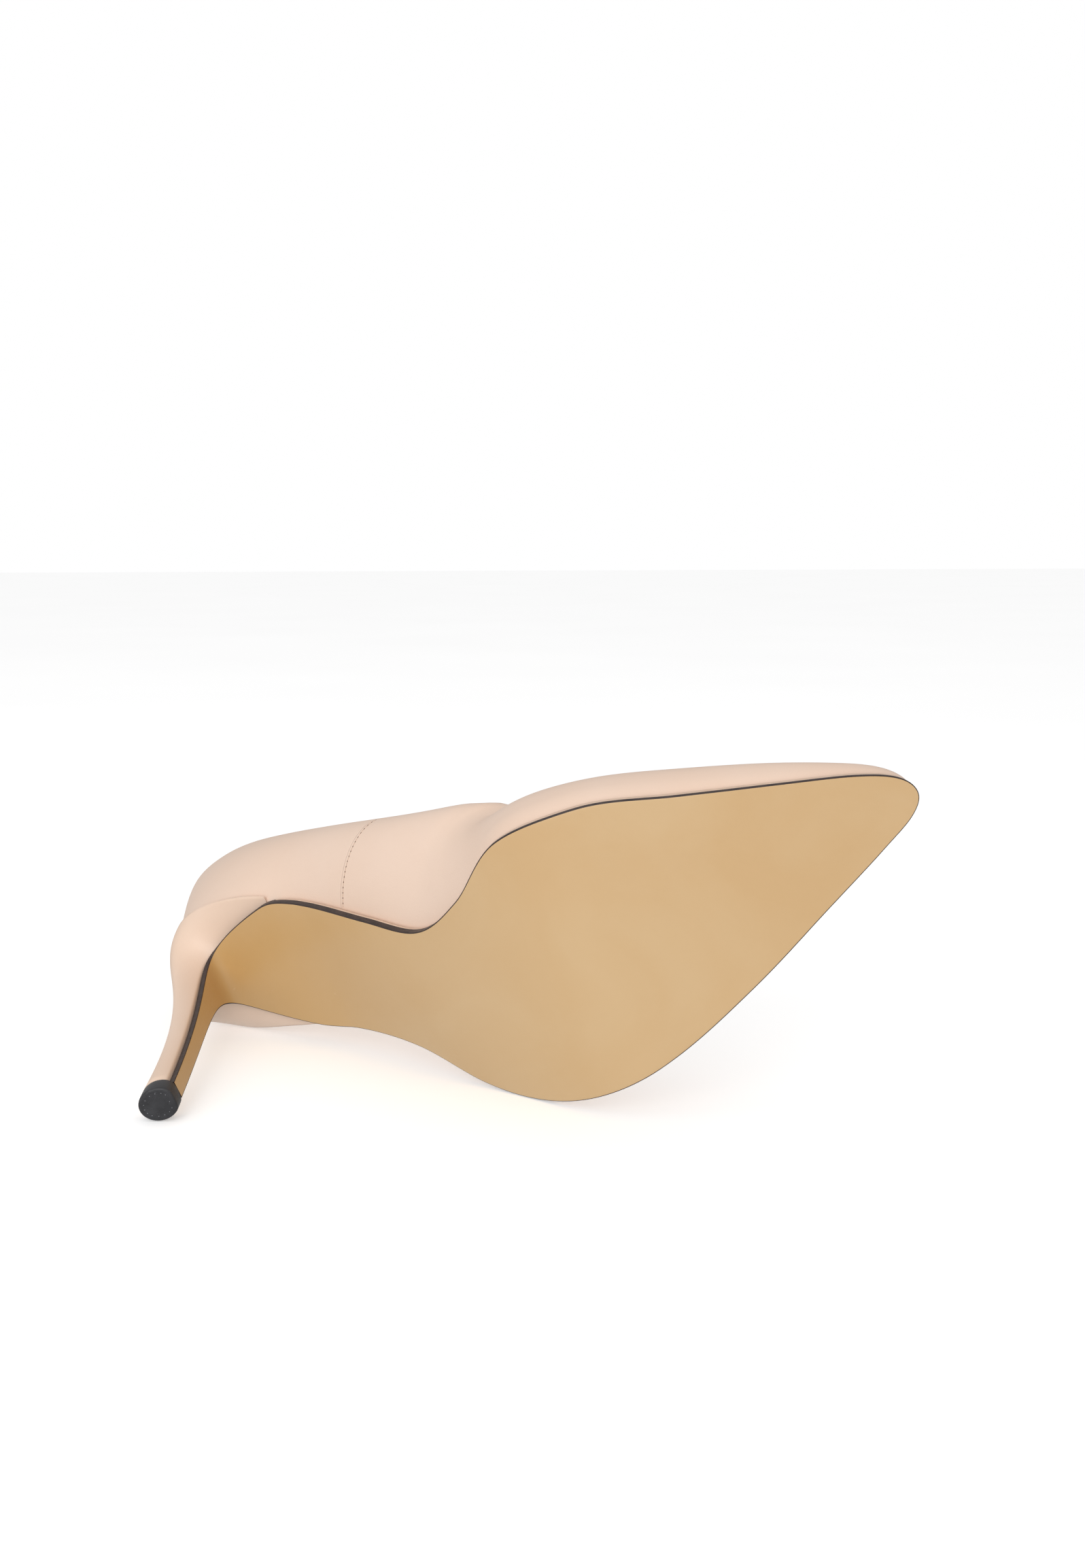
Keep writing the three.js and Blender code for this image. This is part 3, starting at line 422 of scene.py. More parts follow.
def wall(row, side, shares):
    """Points up the upper's wall at each row, from the feather edge (0) to the topline or ridge (1)."""
    rim, outward = edge(row, side, FEATHER_INSET)
    foot = over_sole(rim[:, 0], rim[:, 1], MARGIN_TOP)
    upright = (0.75 - 0.25 * np.minimum(rim[:, 0] / SOLE_LENGTH / 0.25, 1))[:, None]
    up = over_sole(rim[:, 0], rim[:, 1], MARGIN_TOP + 1) - foot
    up = unit(up * (1 - upright) + np.array([0, 0, 1]) * upright)
    outer = unit(over_sole(rim[:, 0] + outward[:, 0], rim[:, 1] + outward[:, 1], MARGIN_TOP) - foot)
    top = wall_top(row + SEAM_LEAN * np.exp(-(((row - SEAM_ROW) / 1.3) ** 2)), side)
    height = ((top - foot) * up).sum(-1)[:, None]
    reach = np.hypot(*(top - foot)[:, :2].T)[:, None]
    swells = SWELL[:, :1] if side > 0 else SWELL[:, 1:]
    swell = spline(np.vstack([swells[:1], swells, swells[-1:]]), row + 1)
    closing = smooth_step(row, THROAT_ROW - 4, THROAT_ROW + 0.4)[:, None]
    fan = math.pi / 2 * (1 - smoother_step(row, POLE_ROW - 0.6, LAST_ROW))
    flat = np.stack([np.cos(fan), np.sin(fan) * side, -RIDGE_FALL * np.cos(fan)], -1)
    heading = unit(unit(outer * (1, 1, 0)) * (1 - closing) + flat * closing)
    first = foot + up * height * (0.36 + 0.12 * closing) + outer * swell * 1.45
    second = top - up * height * 0.34 * (1 - closing)
    second = second + heading * (closing * reach * 0.52 + (1 - closing) * (2 + swell * 0.35))
    return bezier([c[:, None, :] for c in (foot, first, second, top)], shares)


def margin(row, side, shares):
    """Points on the part that is turned in under the insole, from its inner edge (1) to the feather (0)."""
    rim = edge(row, side, FEATHER_INSET)[0]
    level = row_at(np.clip(edge(row, 1)[0][:, 0], 24, SOLE_LENGTH - 34))
    middle = (edge(level, 1)[0] + edge(level, -1)[0]) / 2
    inward = middle - rim
    far = np.linalg.norm(inward, axis=1, keepdims=True)
    depth = np.minimum(MARGIN, far * 0.62) / far
    spots = rim[:, None] + (inward * depth)[:, None] * np.asarray(shares)[None, :, None]
    return over_sole(spots[..., 0], spots[..., 1], MARGIN_TOP)


# The skin that every ply is built on: rows round the shoe, columns up from the turned-in margin. The
# corner at the feather edge has several columns, so that a ply's offset turns round it.
SEAM_OPEN = 0.0015
BESIDE_SEAM = 0.014
skin_rows = np.round(np.arange(0, LAST_ROW + 0.01, 0.1), 3)
by_seam = np.array([-BESIDE_SEAM, -SEAM_OPEN, SEAM_OPEN, BESIDE_SEAM])
skin_rows = np.sort(np.append(skin_rows[skin_rows != SEAM_ROW], SEAM_ROW + by_seam))
MARGIN_SHARES = [1, 0.8, 0.6, 0.4, 0.2, 0.06]
TURN = 6
WALL_SHARES = np.linspace(0, 1, 33)[1:]
turn_from = len(MARGIN_SHARES)
turn_to = turn_from + TURN - 1
columns = turn_to + 1 + len(WALL_SHARES)
last = columns - 1
skin = np.zeros((2, len(skin_rows), columns, 3))
for layer, side in enumerate((1, -1)):
    skin[layer, :, :turn_from] = margin(skin_rows, side, MARGIN_SHARES)
    skin[layer, :, turn_from : turn_to + 1] = margin(skin_rows, side, [0])
    skin[layer, :, turn_to + 1 :] = wall(skin_rows, side, WALL_SHARES)
# lasting draws the leather smooth ahead of the throat
DRAWN_FROM = 6.4  # the row where that starts
DRAWS = 24  # how often each point is moved towards its neighbours
drawn_from = int(np.argmax(skin_rows > DRAWN_FROM))
for draw in range(DRAWS):
    walls = skin[:, drawn_from:, turn_to + 3 : -1]
    along = (skin[:, drawn_from - 1 : -2, turn_to + 3 : -1] + skin[:, drawn_from + 1 :, turn_to + 3 : -1]) / 2
    upward = (skin[:, drawn_from:-1, turn_to + 2 : -2] + skin[:, drawn_from:-1, turn_to + 4 :]) / 2
    walls[:, :-1] = walls[:, :-1] / 2 + (along + upward) / 4
label = np.arange(skin[..., 0].size).reshape(skin.shape[:3])
label[1, 0] = label[0, 0]
label[1, -1] = label[0, -1]
ahead_of_throat = skin_rows >= THROAT_ROW
label[1, ahead_of_throat, last] = label[0, ahead_of_throat, last]
label[:, skin_rows >= POLE_ROW, last] = label[0, np.argmax(skin_rows >= POLE_ROW), last]
skin_points = skin.reshape(-1, 3)


def skin_faces(low, high):
    """The skin's faces between two rows, on both sides, turned outwards."""
    faces = []
    for i in range(len(skin_rows) - 1):
        if skin_rows[i] < low or skin_rows[i + 1] > high:
            continue
        for side in (0, 1):
            for k in range(last):
                ring = [
                    label[side, i, k],
                    label[side, i, k + 1],
                    label[side, i + 1, k + 1],
                    label[side, i + 1, k],
                ]
                ring = [int(v) for v in (ring if side == 0 else ring[::-1])]
                ring = [v for n, v in enumerate(ring) if v != ring[n - 1]]
                if len(ring) > 2:
                    faces.append(ring)
    return faces


def vertex_normals(points, faces):
    normals = np.zeros_like(points)
    for ring in faces:
        a = points[ring[0]]
        for p, q in zip(ring[1:], ring[2:]):
            face = np.cross(points[p] - a, points[q] - a)
            for v in ring:
                normals[v] += face
    return unit(normals)


skin_normals = vertex_normals(skin_points, skin_faces(0, LAST_ROW))
for layer in (0, 1):
    first = skin_normals[label[layer, :, turn_from]]
    second = skin_normals[label[layer, :, turn_to]]
    for k in range(turn_from + 1, turn_to):
        share = (k - turn_from) / (turn_to - turn_from)
        skin_normals[label[layer, :, k]] = unit(first * (1 - share) + second * share)

# The way out over the topline, all round the opening.
back_to_throat = np.flatnonzero(skin_rows <= THROAT_ROW)
topline = np.append(label[0, back_to_throat, last], label[1, back_to_throat[-2:0:-1], last])
ahead_on_topline = np.roll(skin_points[topline], -1, 0) - np.roll(skin_points[topline], 1, 0)
lead = np.zeros_like(skin_points)
lead[topline] = unit(np.cross(unit(ahead_on_topline), skin_normals[topline]))
upward = np.sign(np.median(lead[topline][:, 2]))
lead *= upward


def sheet(points, normals, faces, low, high, round_by, lead_out=None, steps=5):
    """A closed sheet between two distances out from a surface, with its edges rounded over."""
    used = sorted({v for ring in faces for v in ring})
    new = {v: n for n, v in enumerate(used)}
    points, normals, low, high, round_by = (a[used] for a in (points, normals, low, high, round_by))
    faces = [[new[v] for v in ring] for ring in faces]
    sides = {(a, b) for ring in faces for a, b in zip(ring, ring[1:] + ring[:1])}
    border = sorted((a, b) for a, b in sides if (b, a) not in sides)
    tangent = np.zeros_like(points)
    for a, b in border:
        step = unit(points[b] - points[a])
        tangent[a] += step
        tangent[b] += step
    way_out = unit(np.cross(unit(tangent), normals))
    if lead_out is not None:
        guided = np.linalg.norm(lead_out[used], axis=1) > 0.5
        way_out[guided] = lead_out[used][guided]
    middle = points + normals * ((low + high) / 2)[:, None]
    half = ((high - low) / 2)[:, None]
    count = len(points)
    places = [points + normals * high[:, None], points + normals * low[:, None]]
    rim = sorted({v for pair in border for v in pair})
    slot_of = {v: n for n, v in enumerate(rim)}
    for step in range(1, steps):
        angle = math.pi * step / steps
        bulge = way_out * (round_by * math.sin(angle))[:, None]
        places.append((middle + normals * half * math.cos(angle) + bulge)[rim])
    made = [list(ring) for ring in faces]
    made += [[v + count for v in reversed(ring)] for ring in faces]

    def at(v, step):
        if step == 0:
            return v
        if step == steps:
            return v + count
        return 2 * count + (step - 1) * len(rim) + slot_of[v]

    for a, b in border:
        for step in range(steps):
            made.append([at(b, step), at(a, step), at(a, step + 1), at(b, step + 1)])
    return np.vstack(places), made


def piece(name, points, faces, finishes, slot, stands_for=(), chosen=None, sharp=None):
    """A piece of the shoe from points in millimetres. chosen gives each face's finish."""
    mesh = bpy.data.meshes.new(name)
    mesh.from_pydata(((points + CENTRED) / 1000).tolist(), [], faces)
    for material in finishes:
        mesh.materials.append(material)
    if chosen is not None:
        mesh.polygons.foreach_set("material_index", chosen)
    work = bmesh.new()
    work.from_mesh(mesh)
    bmesh.ops.remove_doubles(work, verts=work.verts, dist=2e-6)
    bmesh.ops.recalc_face_normals(work, faces=work.faces)
    for face in work.faces:
        face.smooth = True
    work.to_mesh(mesh)
    work.free()
    if sharp is not None:
        mesh.set_sharp_from_angle(angle=math.radians(sharp))
    made = bpy.data.objects.new(name, mesh)
    bpy.context.scene.collection.objects.link(made)
    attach(made, "root")
    if stands_for:
        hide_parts(*stands_for)
    return made


grain, given, out = effect(
    "leather_grain",
    [
        ("Colour", "Color", (0.8, 0.6, 0.5, 1)),
        ("Mottle colour", "Color", (0.7, 0.5, 0.4, 1)),
        ("Mottle scale", "Float", 60.0),
        ("Pores", "Float", 2600.0),
        ("Base roughness", "Float", 0.45),
    ],
)
place = object_place(grain)
cells = put(grain, "ShaderNodeTexVoronoi", {"Vector": place, "Scale": given["Pores"]}, feature="SMOOTH_F1")
pore = ranged(grain, cells.outputs["Distance"], 0.15, 0.75)
fine_noise = noise(grain, place, reckoned(grain, "MULTIPLY", given["Pores"], 0.45), 4.0)
mottle = ranged(grain, noise(grain, place, given["Mottle scale"], 5.0, 0.4), 0.32, 0.7)
toned = mixed(grain, mottle, given["Colour"], given["Mottle colour"])
creased = mixed(grain, ranged(grain, pore, 0.55, 1.0, 0.0, 0.18), toned, given["Mottle colour"])
grain.links.new(creased, out["Colour"])
uneven = reckoned(grain, "MULTIPLY_ADD", fine_noise, 0.16, given["Base roughness"])
grain.links.new(reckoned(grain, "MULTIPLY_ADD", mottle, 0.08, uneven), out["Roughness"])
grain.links.new(reckoned(grain, "MULTIPLY_ADD", pore, -0.6, fine_noise), out["Height"])

lining_leather = finish(
    "lining_leather",
    grain,
    {
        "Colour": colour(222, 198, 172),
        "Mottle colour": colour(208, 180, 150),
        "Mottle scale": 45.0,
        "Pores": 2200.0,
        "Base roughness": 0.55,
    },
    0.00006,
    Sheen_Weight=0.15,
    Sheen_Roughness=0.5,
)
vamp_faces = skin_faces(SEAM_ROW, LAST_ROW)
quarter_faces = skin_faces(0, SEAM_ROW)
everywhere = np.ones(len(skin_points))
lining_edge = np.where(np.isin(np.arange(len(skin_points)), topline), LINING / 2, 0.05)
for name, faces, stands_for in (
    ("vamp_lining_leather", vamp_faces, "vamp_lining"),
    ("quarter_lining_leather", quarter_faces, "quarter_lining"),
):
    made = sheet(skin_points, skin_normals, faces, 0 * everywhere, LINING * everywhere, lining_edge, lead)
    piece(name, *made, [lining_leather], "lining_leather", [stands_for])

# ---- Toe puff and heel counter ---------------------------------------------------------------------
# Felted fibre sheet soaked in resin, heated and lasted between the lining and the upper, so that the toe
# and the back of the shoe keep their shape. They keep the solids' shapes.
stiffener = finish(
    "stiffener",
    fibres,
    {"Colour": colour(224, 216, 198), "Fibre colour": colour(190, 178, 152), "Scale": 1500.0},
    0.0001,
)
wear("toe_puff", stiffener)
wear("heel_counter", stiffener)

# ---- Vamp and quarter ------------------------------------------------------------------------------
# Smooth nude kid leather in two pieces, which meet in a seam on each side of the arch. Along the topline
# the edge is skived and folded over by about 5 mm, and below it is turned in under the insole.
FOLD = 5.0
upper_leather = finish(
    "upper_leather",
    grain,
    {
        "Colour": colour(234, 208, 189),
        "Mottle colour": colour(231, 203, 182),
        "Mottle scale": 26.0,
        "Pores": 3000.0,
        "Base roughness": 0.34,
    },
    0.00003,
    Coat_Weight=0.12,
    Coat_Roughness=0.35,
)
from_topline = np.full(len(skin_points), 1e9)
for v in topline:
    from_topline = np.minimum(from_topline, np.linalg.norm(skin_points - skin_points[v], axis=1))
folded = 1 - smooth_step(from_topline, FOLD - 1, FOLD + 1)
upper_low = UPPER_PLY - 0.8 * folded
upper_high = UPPER_PLY + UPPER_LEATHER + 0.1 * folded
upper_edge = np.where(np.isin(np.arange(len(skin_points)), topline), (upper_high - upper_low) / 2, 0.015)
for name, faces, stands_for in (
    ("vamp", vamp_faces, "vamp_upper"),
    ("quarter", quarter_faces, "back_quarter"),
):
    made = sheet(skin_points, skin_normals, faces, upper_low, upper_high, upper_edge, lead)
    piece(name, *made, [upper_leather], "upper_leather", [stands_for])

# ---- Side seam's stitches --------------------------------------------------------------------------
# Fine bonded thread in a running lockstitch just ahead of the vamp's edge. Between the stitches, flat dark
# beads on the leather mark the needle's holes: painted shade in the holes.
STITCH_PITCH = 1.5
STITCH_LENGTH = 0.84
THREAD = 0.12
seam_thread = finish(
    "seam_thread",
    fibres,
    {
        "Colour": colour(212, 184, 162),
        "Fibre colour": colour(186, 154, 130),
        "Scale": 6000.0,
        "Base roughness": 0.5,
    },
    0.00003,
)
# painted shade: the dark finish of the flat beads that stand for the shade inside the needle's holes
painted_hole_shade = finish(
    "painted_hole_shade",
    fibres,
    {"Colour": colour(110, 80, 62), "Fibre colour": colour(84, 58, 44), "Scale": 4000.0},
    0.00002,
)


def bead(middle, along, across, out_of, size):
    """A rounded bead, with its three half sizes along its three directions."""
    rings, around = 6, 8
    turn = np.linspace(0, 2 * math.pi, around, endpoint=False)
    places = [middle - along * size[0]]
    for k in range(1, rings):
        angle = math.pi * k / rings
        thick = math.sin(angle)
        centre = middle - along * size[0] * math.cos(angle)
        for a in turn:
            places.append(centre + (across * size[1] * math.cos(a) + out_of * size[2] * math.sin(a)) * thick)
    places.append(middle + along * size[0])
    faces = [[0, 1 + (i + 1) % around, 1 + i] for i in range(around)]
    for k in range(rings - 2):
        for i in range(around):
            j = (i + 1) % around
            low, high = 1 + k * around, 1 + (k + 1) * around
            faces.append([low + i, low + j, high + j, high + i])
    top, low = len(places) - 1, 1 + (rings - 2) * around
    faces += [[top, low + i, low + (i + 1) % around] for i in range(around)]
    return np.array(places), faces


stitch_points, stitch_faces, stitch_finish = [], [], []
for side in (1, -1):
    up_the_wall = np.linspace(0.03, 0.985, 600)
    line = wall(np.array([SEAM_ROW + 0.04]), side, up_the_wall)[0]
    beside = wall(np.array([SEAM_ROW + 0.14]), side, up_the_wall)[0]
    climb = unit(np.gradient(line, axis=0))
    out_of = unit(np.cross(climb, unit(beside - line))) * side
    level = UPPER_PLY + UPPER_LEATHER
    walked = np.concatenate([[0], np.cumsum(np.linalg.norm(np.diff(line + out_of * level, axis=0), axis=1))])
    for distance in np.arange(0.8, walked[-1] - 0.8, STITCH_PITCH / 2):
        k = int(np.searchsorted(walked, distance))
        # at a needle's hole the bead is a flat dark one, painted shade for the hole
        hole = round(distance / (STITCH_PITCH / 2)) % 2 == 0
        size = (0.3, 0.15, 0.07) if hole else (STITCH_LENGTH / 2, THREAD, THREAD)
        middle = line[k] + out_of[k] * (level + (0.02 if hole else 0.0))
        places, faces = bead(middle, climb[k], np.cross(out_of[k], climb[k]), out_of[k], size)
        start = sum(len(p) for p in stitch_points)
        stitch_points.append(places)
        stitch_faces += [[v + start for v in ring] for ring in faces]
        stitch_finish += [1 if hole else 0] * len(faces)
piece(
    "seam_stitches",
    np.vstack(stitch_points),
    stitch_faces,
    [seam_thread, painted_hole_shade],
    "upper_leather",
    chosen=stitch_finish,
)

# ---- Forepart filler -------------------------------------------------------------------------------
# Granulated cork bound with rubber, spread level in the hollow that the turned-in margin leaves under the
# front of the insole. It keeps the solid's shape.
cork, given, out = effect(
    "cork_granules",
    [("Colour", "Color", (0.5, 0.35, 0.2, 1)), ("Dark granule", "Color", (0.2, 0.1, 0.05, 1))],
)
granules = put(cork, "ShaderNodeTexVoronoi", {"Vector": object_place(cork), "Scale": 700.0})
granule_red = put(cork, "ShaderNodeSeparateColor", {0: granules.outputs["Color"]}).outputs[0]
darkness = ranged(cork, granule_red, 0.2, 0.9)
cork.links.new(mixed(cork, darkness, given["Colour"], given["Dark granule"]), out["Colour"])
cork.links.new(ranged(cork, darkness, 0.0, 1.0, 0.8, 0.95), out["Roughness"])
cork.links.new(granules.outputs["Distance"], out["Height"])
filler = finish("cork", cork, {"Colour": colour(186, 146, 98), "Dark granule": colour(124, 86, 54)}, 0.0004)
wear("forepart_filler", filler)

# ---- Outsole ---------------------------------------------------------------------------------------
# Vegetable-tanned cow leather, cemented on from the toe back over the arch, then skived thinner where it
# runs down the breast of the heel to its tip. The trimmed edge is inked dark brown.
OUTSOLE = 2.6
FLAP = 1.6
BREAST_AT = 51.0
TIP_BACK = 10.4
TIP_DEPTH = 9.8
TOP_PIECE = 5.0
GAP = 0.2
FLAP_TIP_WIDTH = 5.0
INK_DROPS = 7.2  # the row ahead of which less of the edge is inked
SOFTENED = 12  # how often the corner where the sole turns down the breast is eased
seat_middle = SEAT_CENTRE - 0.7
tip_front = np.array([BACK_X + TIP_BACK + TIP_DEPTH, TOP_PIECE + GAP])
breast_top = np.array([np.interp(BREAST_AT, run, path[:, i]) for i in (0, 1)])
before_breast = np.array([np.interp(BREAST_AT - 12, run, path[:, i]) for i in (0, 1)])
breast_heading = unit(before_breast - breast_top)
breast_corners = [
    breast_top,
    breast_top + breast_heading * 0.5 * HEEL_HEIGHT,
    tip_front + (-0.8, 0.87 * HEEL_HEIGHT),
    tip_front,
]
breast_row = float(row_at(BREAST_AT))


def flap_thickness(share):
    return OUTSOLE + (FLAP - OUTSOLE) * smooth_step(share, 0, 0.12)


def sole_place(row, across, inset, rise):
    """A place on the sole ahead of the breast: across runs from its medial edge (0) to its lateral (1)."""
    medial, lateral = edge(row, -1, inset)[0], edge(row, 1, inset)[0]
    spot = medial + (lateral - medial) * across
    return over_sole(spot[:, 0], spot[:, 1], rise)


def flap_place(share, across, inset, rise):
    """A place on the flap; rise counts from its face as on the full sole, and is thinned with it."""
    spot = bezier(breast_corners, share)
    ahead = unit(bezier(breast_corners, share + 1e-4) - bezier(breast_corners, share - 1e-4))
    depth = rise * flap_thickness(share) / OUTSOLE
    narrowing = (1 - share) ** 2.34
    edges = []
    for side in (-1, 1):
        tip = seat_middle + side * FLAP_TIP_WIDTH / 2
        edges.append(tip + (edge(breast_row, side)[0][1] - tip) * narrowing - side * inset)
    y = edges[0] + (edges[1] - edges[0]) * across
    return np.stack([spot[:, 0] + ahead[:, 1] * depth, y, spot[:, 1] - ahead[:, 0] * depth], -1)


# The section across the sole as a ring: (share across, inset, rise, how far along the edge its paint lies).
# The edge is inked dark from below, to a level that is lower ahead of the waist, and painted nude above it.
ACROSS = [0, 0.01, 0.035, 0.09, 0.18, 0.3, 0.42, 0.5, 0.58, 0.7, 0.82, 0.91, 0.965, 0.99, 1]
EDGE = [(0.12, 0.05, 1), (0.03, 0.16, 1), (0, 0.4, 1), (0, 0.9, 1), (0, 1.3, 2), (0, 1.85, 2), (0, 2.2, 3)]
EDGE += [(0.04, 2.4, 3), (0.16, 2.54, 3)]
section = [(a, 0.3, 0.0, 1 if a in (0, 1) else 0) for a in ACROSS]
section += [(1, inset, rise, inked) for inset, rise, inked in EDGE]
section += [(a, 0.3, OUTSOLE, 3 if abs(a - 0.5) > 0.45 else 0) for a in reversed(ACROSS)]
section += [(0, inset, rise, inked) for inset, rise, inked in reversed(EDGE)]


def tube(ring_of, section, closed_at):
    """A tube of rings, one for each station; closed_at says which ends get a flat face."""
    rings = np.stack([ring_of(*part) for part in section], 1)
    stations, around = rings.shape[:2]
    faces = []
    for i in range(stations - 1):
        for m in range(around):
            n = (m + 1) % around
            faces.append([i * around + m, i * around + n, (i + 1) * around + n, (i + 1) * around + m])
    if "first" in closed_at:
        faces.append(list(range(around)))
    if "last" in closed_at:
        faces.append(list(range((stations - 1) * around, stations * around))[::-1])
    return rings.reshape(-1, 3), faces


sole_rows = LAST_ROW - (LAST_ROW - breast_row) * np.linspace(0, 1, 150)[:-1] ** 1.25
flap_shares = np.linspace(0, 1, 60) ** 1.2


def sole_ring(across, inset, rise, inked):
    waist = np.exp(-(((row_at(100.0) - sole_rows) / 2.2) ** 2))
    crown = 0.7 * waist * 4 * across * (1 - across) * (1 - rise / OUTSOLE)
    ahead = sole_place(sole_rows, across, inset, rise - crown)
    return np.vstack([ahead, flap_place(flap_shares, across, inset, np.full(len(flap_shares), rise))])


sole_points, sole_faces = tube(sole_ring, section, ["last"])
rings = sole_points.reshape(-1, len(section), 3)
corner = len(sole_rows)
for soften in range(SOFTENED):
    middle = (rings[corner - 4 : corner + 7] + rings[corner - 2 : corner + 9]) / 2
    rings[corner - 3 : corner + 8] = (rings[corner - 3 : corner + 8] + middle) / 2
painted = [part[3] for part in section]
stations = len(sole_rows) + len(flap_shares)
ink_level = np.where(np.append(sole_rows, np.zeros(len(flap_shares))) > INK_DROPS, 1, 2)
ink_level[len(sole_rows) :] = 3
sole_finish = []
for i in range(stations - 1):
    for m in range(len(section)):
        levels = sorted((painted[m], painted[(m + 1) % len(section)]))
        sole_finish.append(0 if levels[0] == 0 else 1 if levels[1] <= ink_level[i] else 2)
sole_finish.append(1)

tan, given, out = effect(
    "sole_leather",
    [
        ("Colour", "Color", (0.6, 0.45, 0.25, 1)),
        ("Warm colour", "Color", (0.5, 0.3, 0.1, 1)),
        ("Burnished colour", "Color", (0.5, 0.3, 0.1, 1)),
        ("Base roughness", "Float", 0.4),
    ],
)
place = object_place(tan)
clouds = ranged(tan, noise(tan, place, 22.0, 4.0, 0.8), 0.35, 0.68)
hide = noise(tan, place, 900.0, 5.0)
rub_place = put(tan, "ShaderNodeMapping", {"Vector": place, "Scale": (1, 7, 1), "Rotation": (0, 0, 0.3)})
rubbed = ranged(tan, noise(tan, rub_place.outputs[0], 150.0, 6.0, 0.2), 0.66, 0.8)
clouded = mixed(tan, clouds, given["Colour"], given["Warm colour"])
behind_ball = put(tan, "ShaderNodeSeparateXYZ", {0: place}).outputs["X"]
# darker and more golden from behind the ball back to the heel's tip, and a little darker where the clouds are
darker_towards_heel = reckoned(tan, "MULTIPLY_ADD", clouds, 0.2, ranged(tan, behind_ball, -0.015, -0.09, 0.0, 0.75))
base = mixed(tan, darker_towards_heel, clouded, given["Burnished colour"])
speck = ranged(tan, noise(tan, place, 420.0, 2.0), 0.72, 0.78, 0.0, 0.35)
tan.links.new(mixed(tan, speck, base, given["Warm colour"]), out["Colour"])
worn = reckoned(tan, "MULTIPLY_ADD", hide, 0.15, given["Base roughness"])
tan.links.new(reckoned(tan, "MULTIPLY_ADD", rubbed, 0.15, worn), out["Roughness"])
tan.links.new(reckoned(tan, "MULTIPLY_ADD", rubbed, -0.4, hide), out["Height"])
sole_leather = finish(
    "sole_leather",
    tan,
    {
        "Colour": colour(214, 180, 134),
        "Warm colour": colour(213, 177, 130),
        "Burnished colour": colour(199, 157, 98),
        "Base roughness": 0.3,
    },
    0.00003,
    Coat_Weight=0.2,
    Coat_Roughness=0.3,
)
edge_ink = finish(
    "edge_ink",
    grain,
    {
        "Colour": colour(56, 40, 36),
        "Mottle colour": colour(44, 32, 30),
        "Mottle scale": 300.0,
        "Pores": 1800.0,
        "Base roughness": 0.35,
    },
    0.00005,
)
edge_paint = finish(
    "edge_paint",
    grain,
    {
        "Colour": colour(222, 193, 170),
        "Mottle colour": colour(212, 182, 158),
        "Mottle scale": 300.0,
        "Pores": 1800.0,
        "Base roughness": 0.4,
    },
    0.00004,
)
sole_finishes = [sole_leather, edge_ink, edge_paint]
piece("sole", sole_points, sole_faces, sole_finishes, "sole_leather", ["outsole"], sole_finish, 38)

# ---- Heel core, tube, screw and nails --------------------------------------------------------------
# An injection-moulded heel block with a steel tube up its pillar. A long screw and four nails are driven
# into it from inside through the insole. All keep the solids' shapes.
moulded, given, out = effect(
    "moulded_plastic",
    [("Colour", "Color", (0.8, 0.8, 0.7, 1)), ("Flow colour", "Color", (0.7, 0.7, 0.6, 1))],
)
flow = noise(moulded, object_place(moulded), 120.0, 3.0, 1.5)
streaked = mixed(moulded, ranged(moulded, flow, 0.4, 0.7), given["Colour"], given["Flow colour"])
moulded.links.new(streaked, out["Colour"])
moulded.links.new(ranged(moulded, flow, 0.3, 0.7, 0.35, 0.5), out["Roughness"])
moulded.links.new(noise(moulded, object_place(moulded), 2500.0, 2.0), out["Height"])
heel_plastic = finish(
    "heel_plastic",
    moulded,
    {"Colour": colour(228, 223, 210), "Flow colour": colour(214, 207, 190)},
    0.00002,
)
plain_steel = finish(
    "plain_steel",
    drawn,
    {"Colour": colour(168, 170, 172), "Tarnish": colour(128, 128, 126), "Base roughness": 0.28},
    0.00003,
    Metallic=1.0,
)
wear("heel_core", heel_plastic)
for name in ("heel_tube", "heel_screw", "heel_nail_1", "heel_nail_2", "heel_nail_3", "heel_nail_4"):
    wear(name, plain_steel)

# ---- Heel cover ------------------------------------------------------------------------------------
# The upper's nude leather, skived to 0.8 mm, cemented round the heel block from one edge of the sole's
# flap to the other and trimmed flush with the seat.
HEEL_LEATHER = 0.8
TIP_WIDTH = 9.2
FRONT_DROP = 0.8
FRONT_ANGLE = math.radians(146)


def tip_edge(turn, side, inset=0.0, deep=TIP_DEPTH):
    """The edge of the heel's tip, from its back (0) round to the flap (1)."""
    depth = deep / (1 - math.cos(FRONT_ANGLE))
    x = BACK_X + TIP_BACK + depth - (depth - inset) * np.cos(turn * FRONT_ANGLE)
    return x, seat_middle + side * (TIP_WIDTH / 2 - inset) * np.sin(turn * FRONT_ANGLE)


def heel_side(turn, down, side):
    """A place on the heel's side, from its back (0) round to the flap (1) and from the seat down."""
    spot = edge(turn * breast_row, side)[0]
    top = over_sole(spot[..., 0], spot[..., 1], OUTSOLE)
    x, y = tip_edge(turn, side, 0, TIP_DEPTH - FRONT_DROP)
    end = np.stack([x, y, np.full_like(x, tip_front[1])], -1)
    forward = turn**1.6
    none = np.zeros_like(turn)
    first = top + np.stack([-0.44 * HEEL_HEIGHT * forward, none, HEEL_HEIGHT * (0.4 * forward - 0.17)], -1)
    first[..., 1] += (y - first[..., 1]) * 0.95 * np.sin(turn * math.pi / 2)
    second = end + np.stack([3.8 - 4.4 * forward, none, HEEL_HEIGHT * (0.6 + 0.27 * forward)], -1)
    return bezier([top, first, second, end], down)


breast_steps = np.linspace(0, 1, 400)
breast_line = bezier(breast_corners, breast_steps)
breast_ahead = unit(np.gradient(breast_line, axis=0))
flap_back = flap_thickness(breast_steps) + 0.12


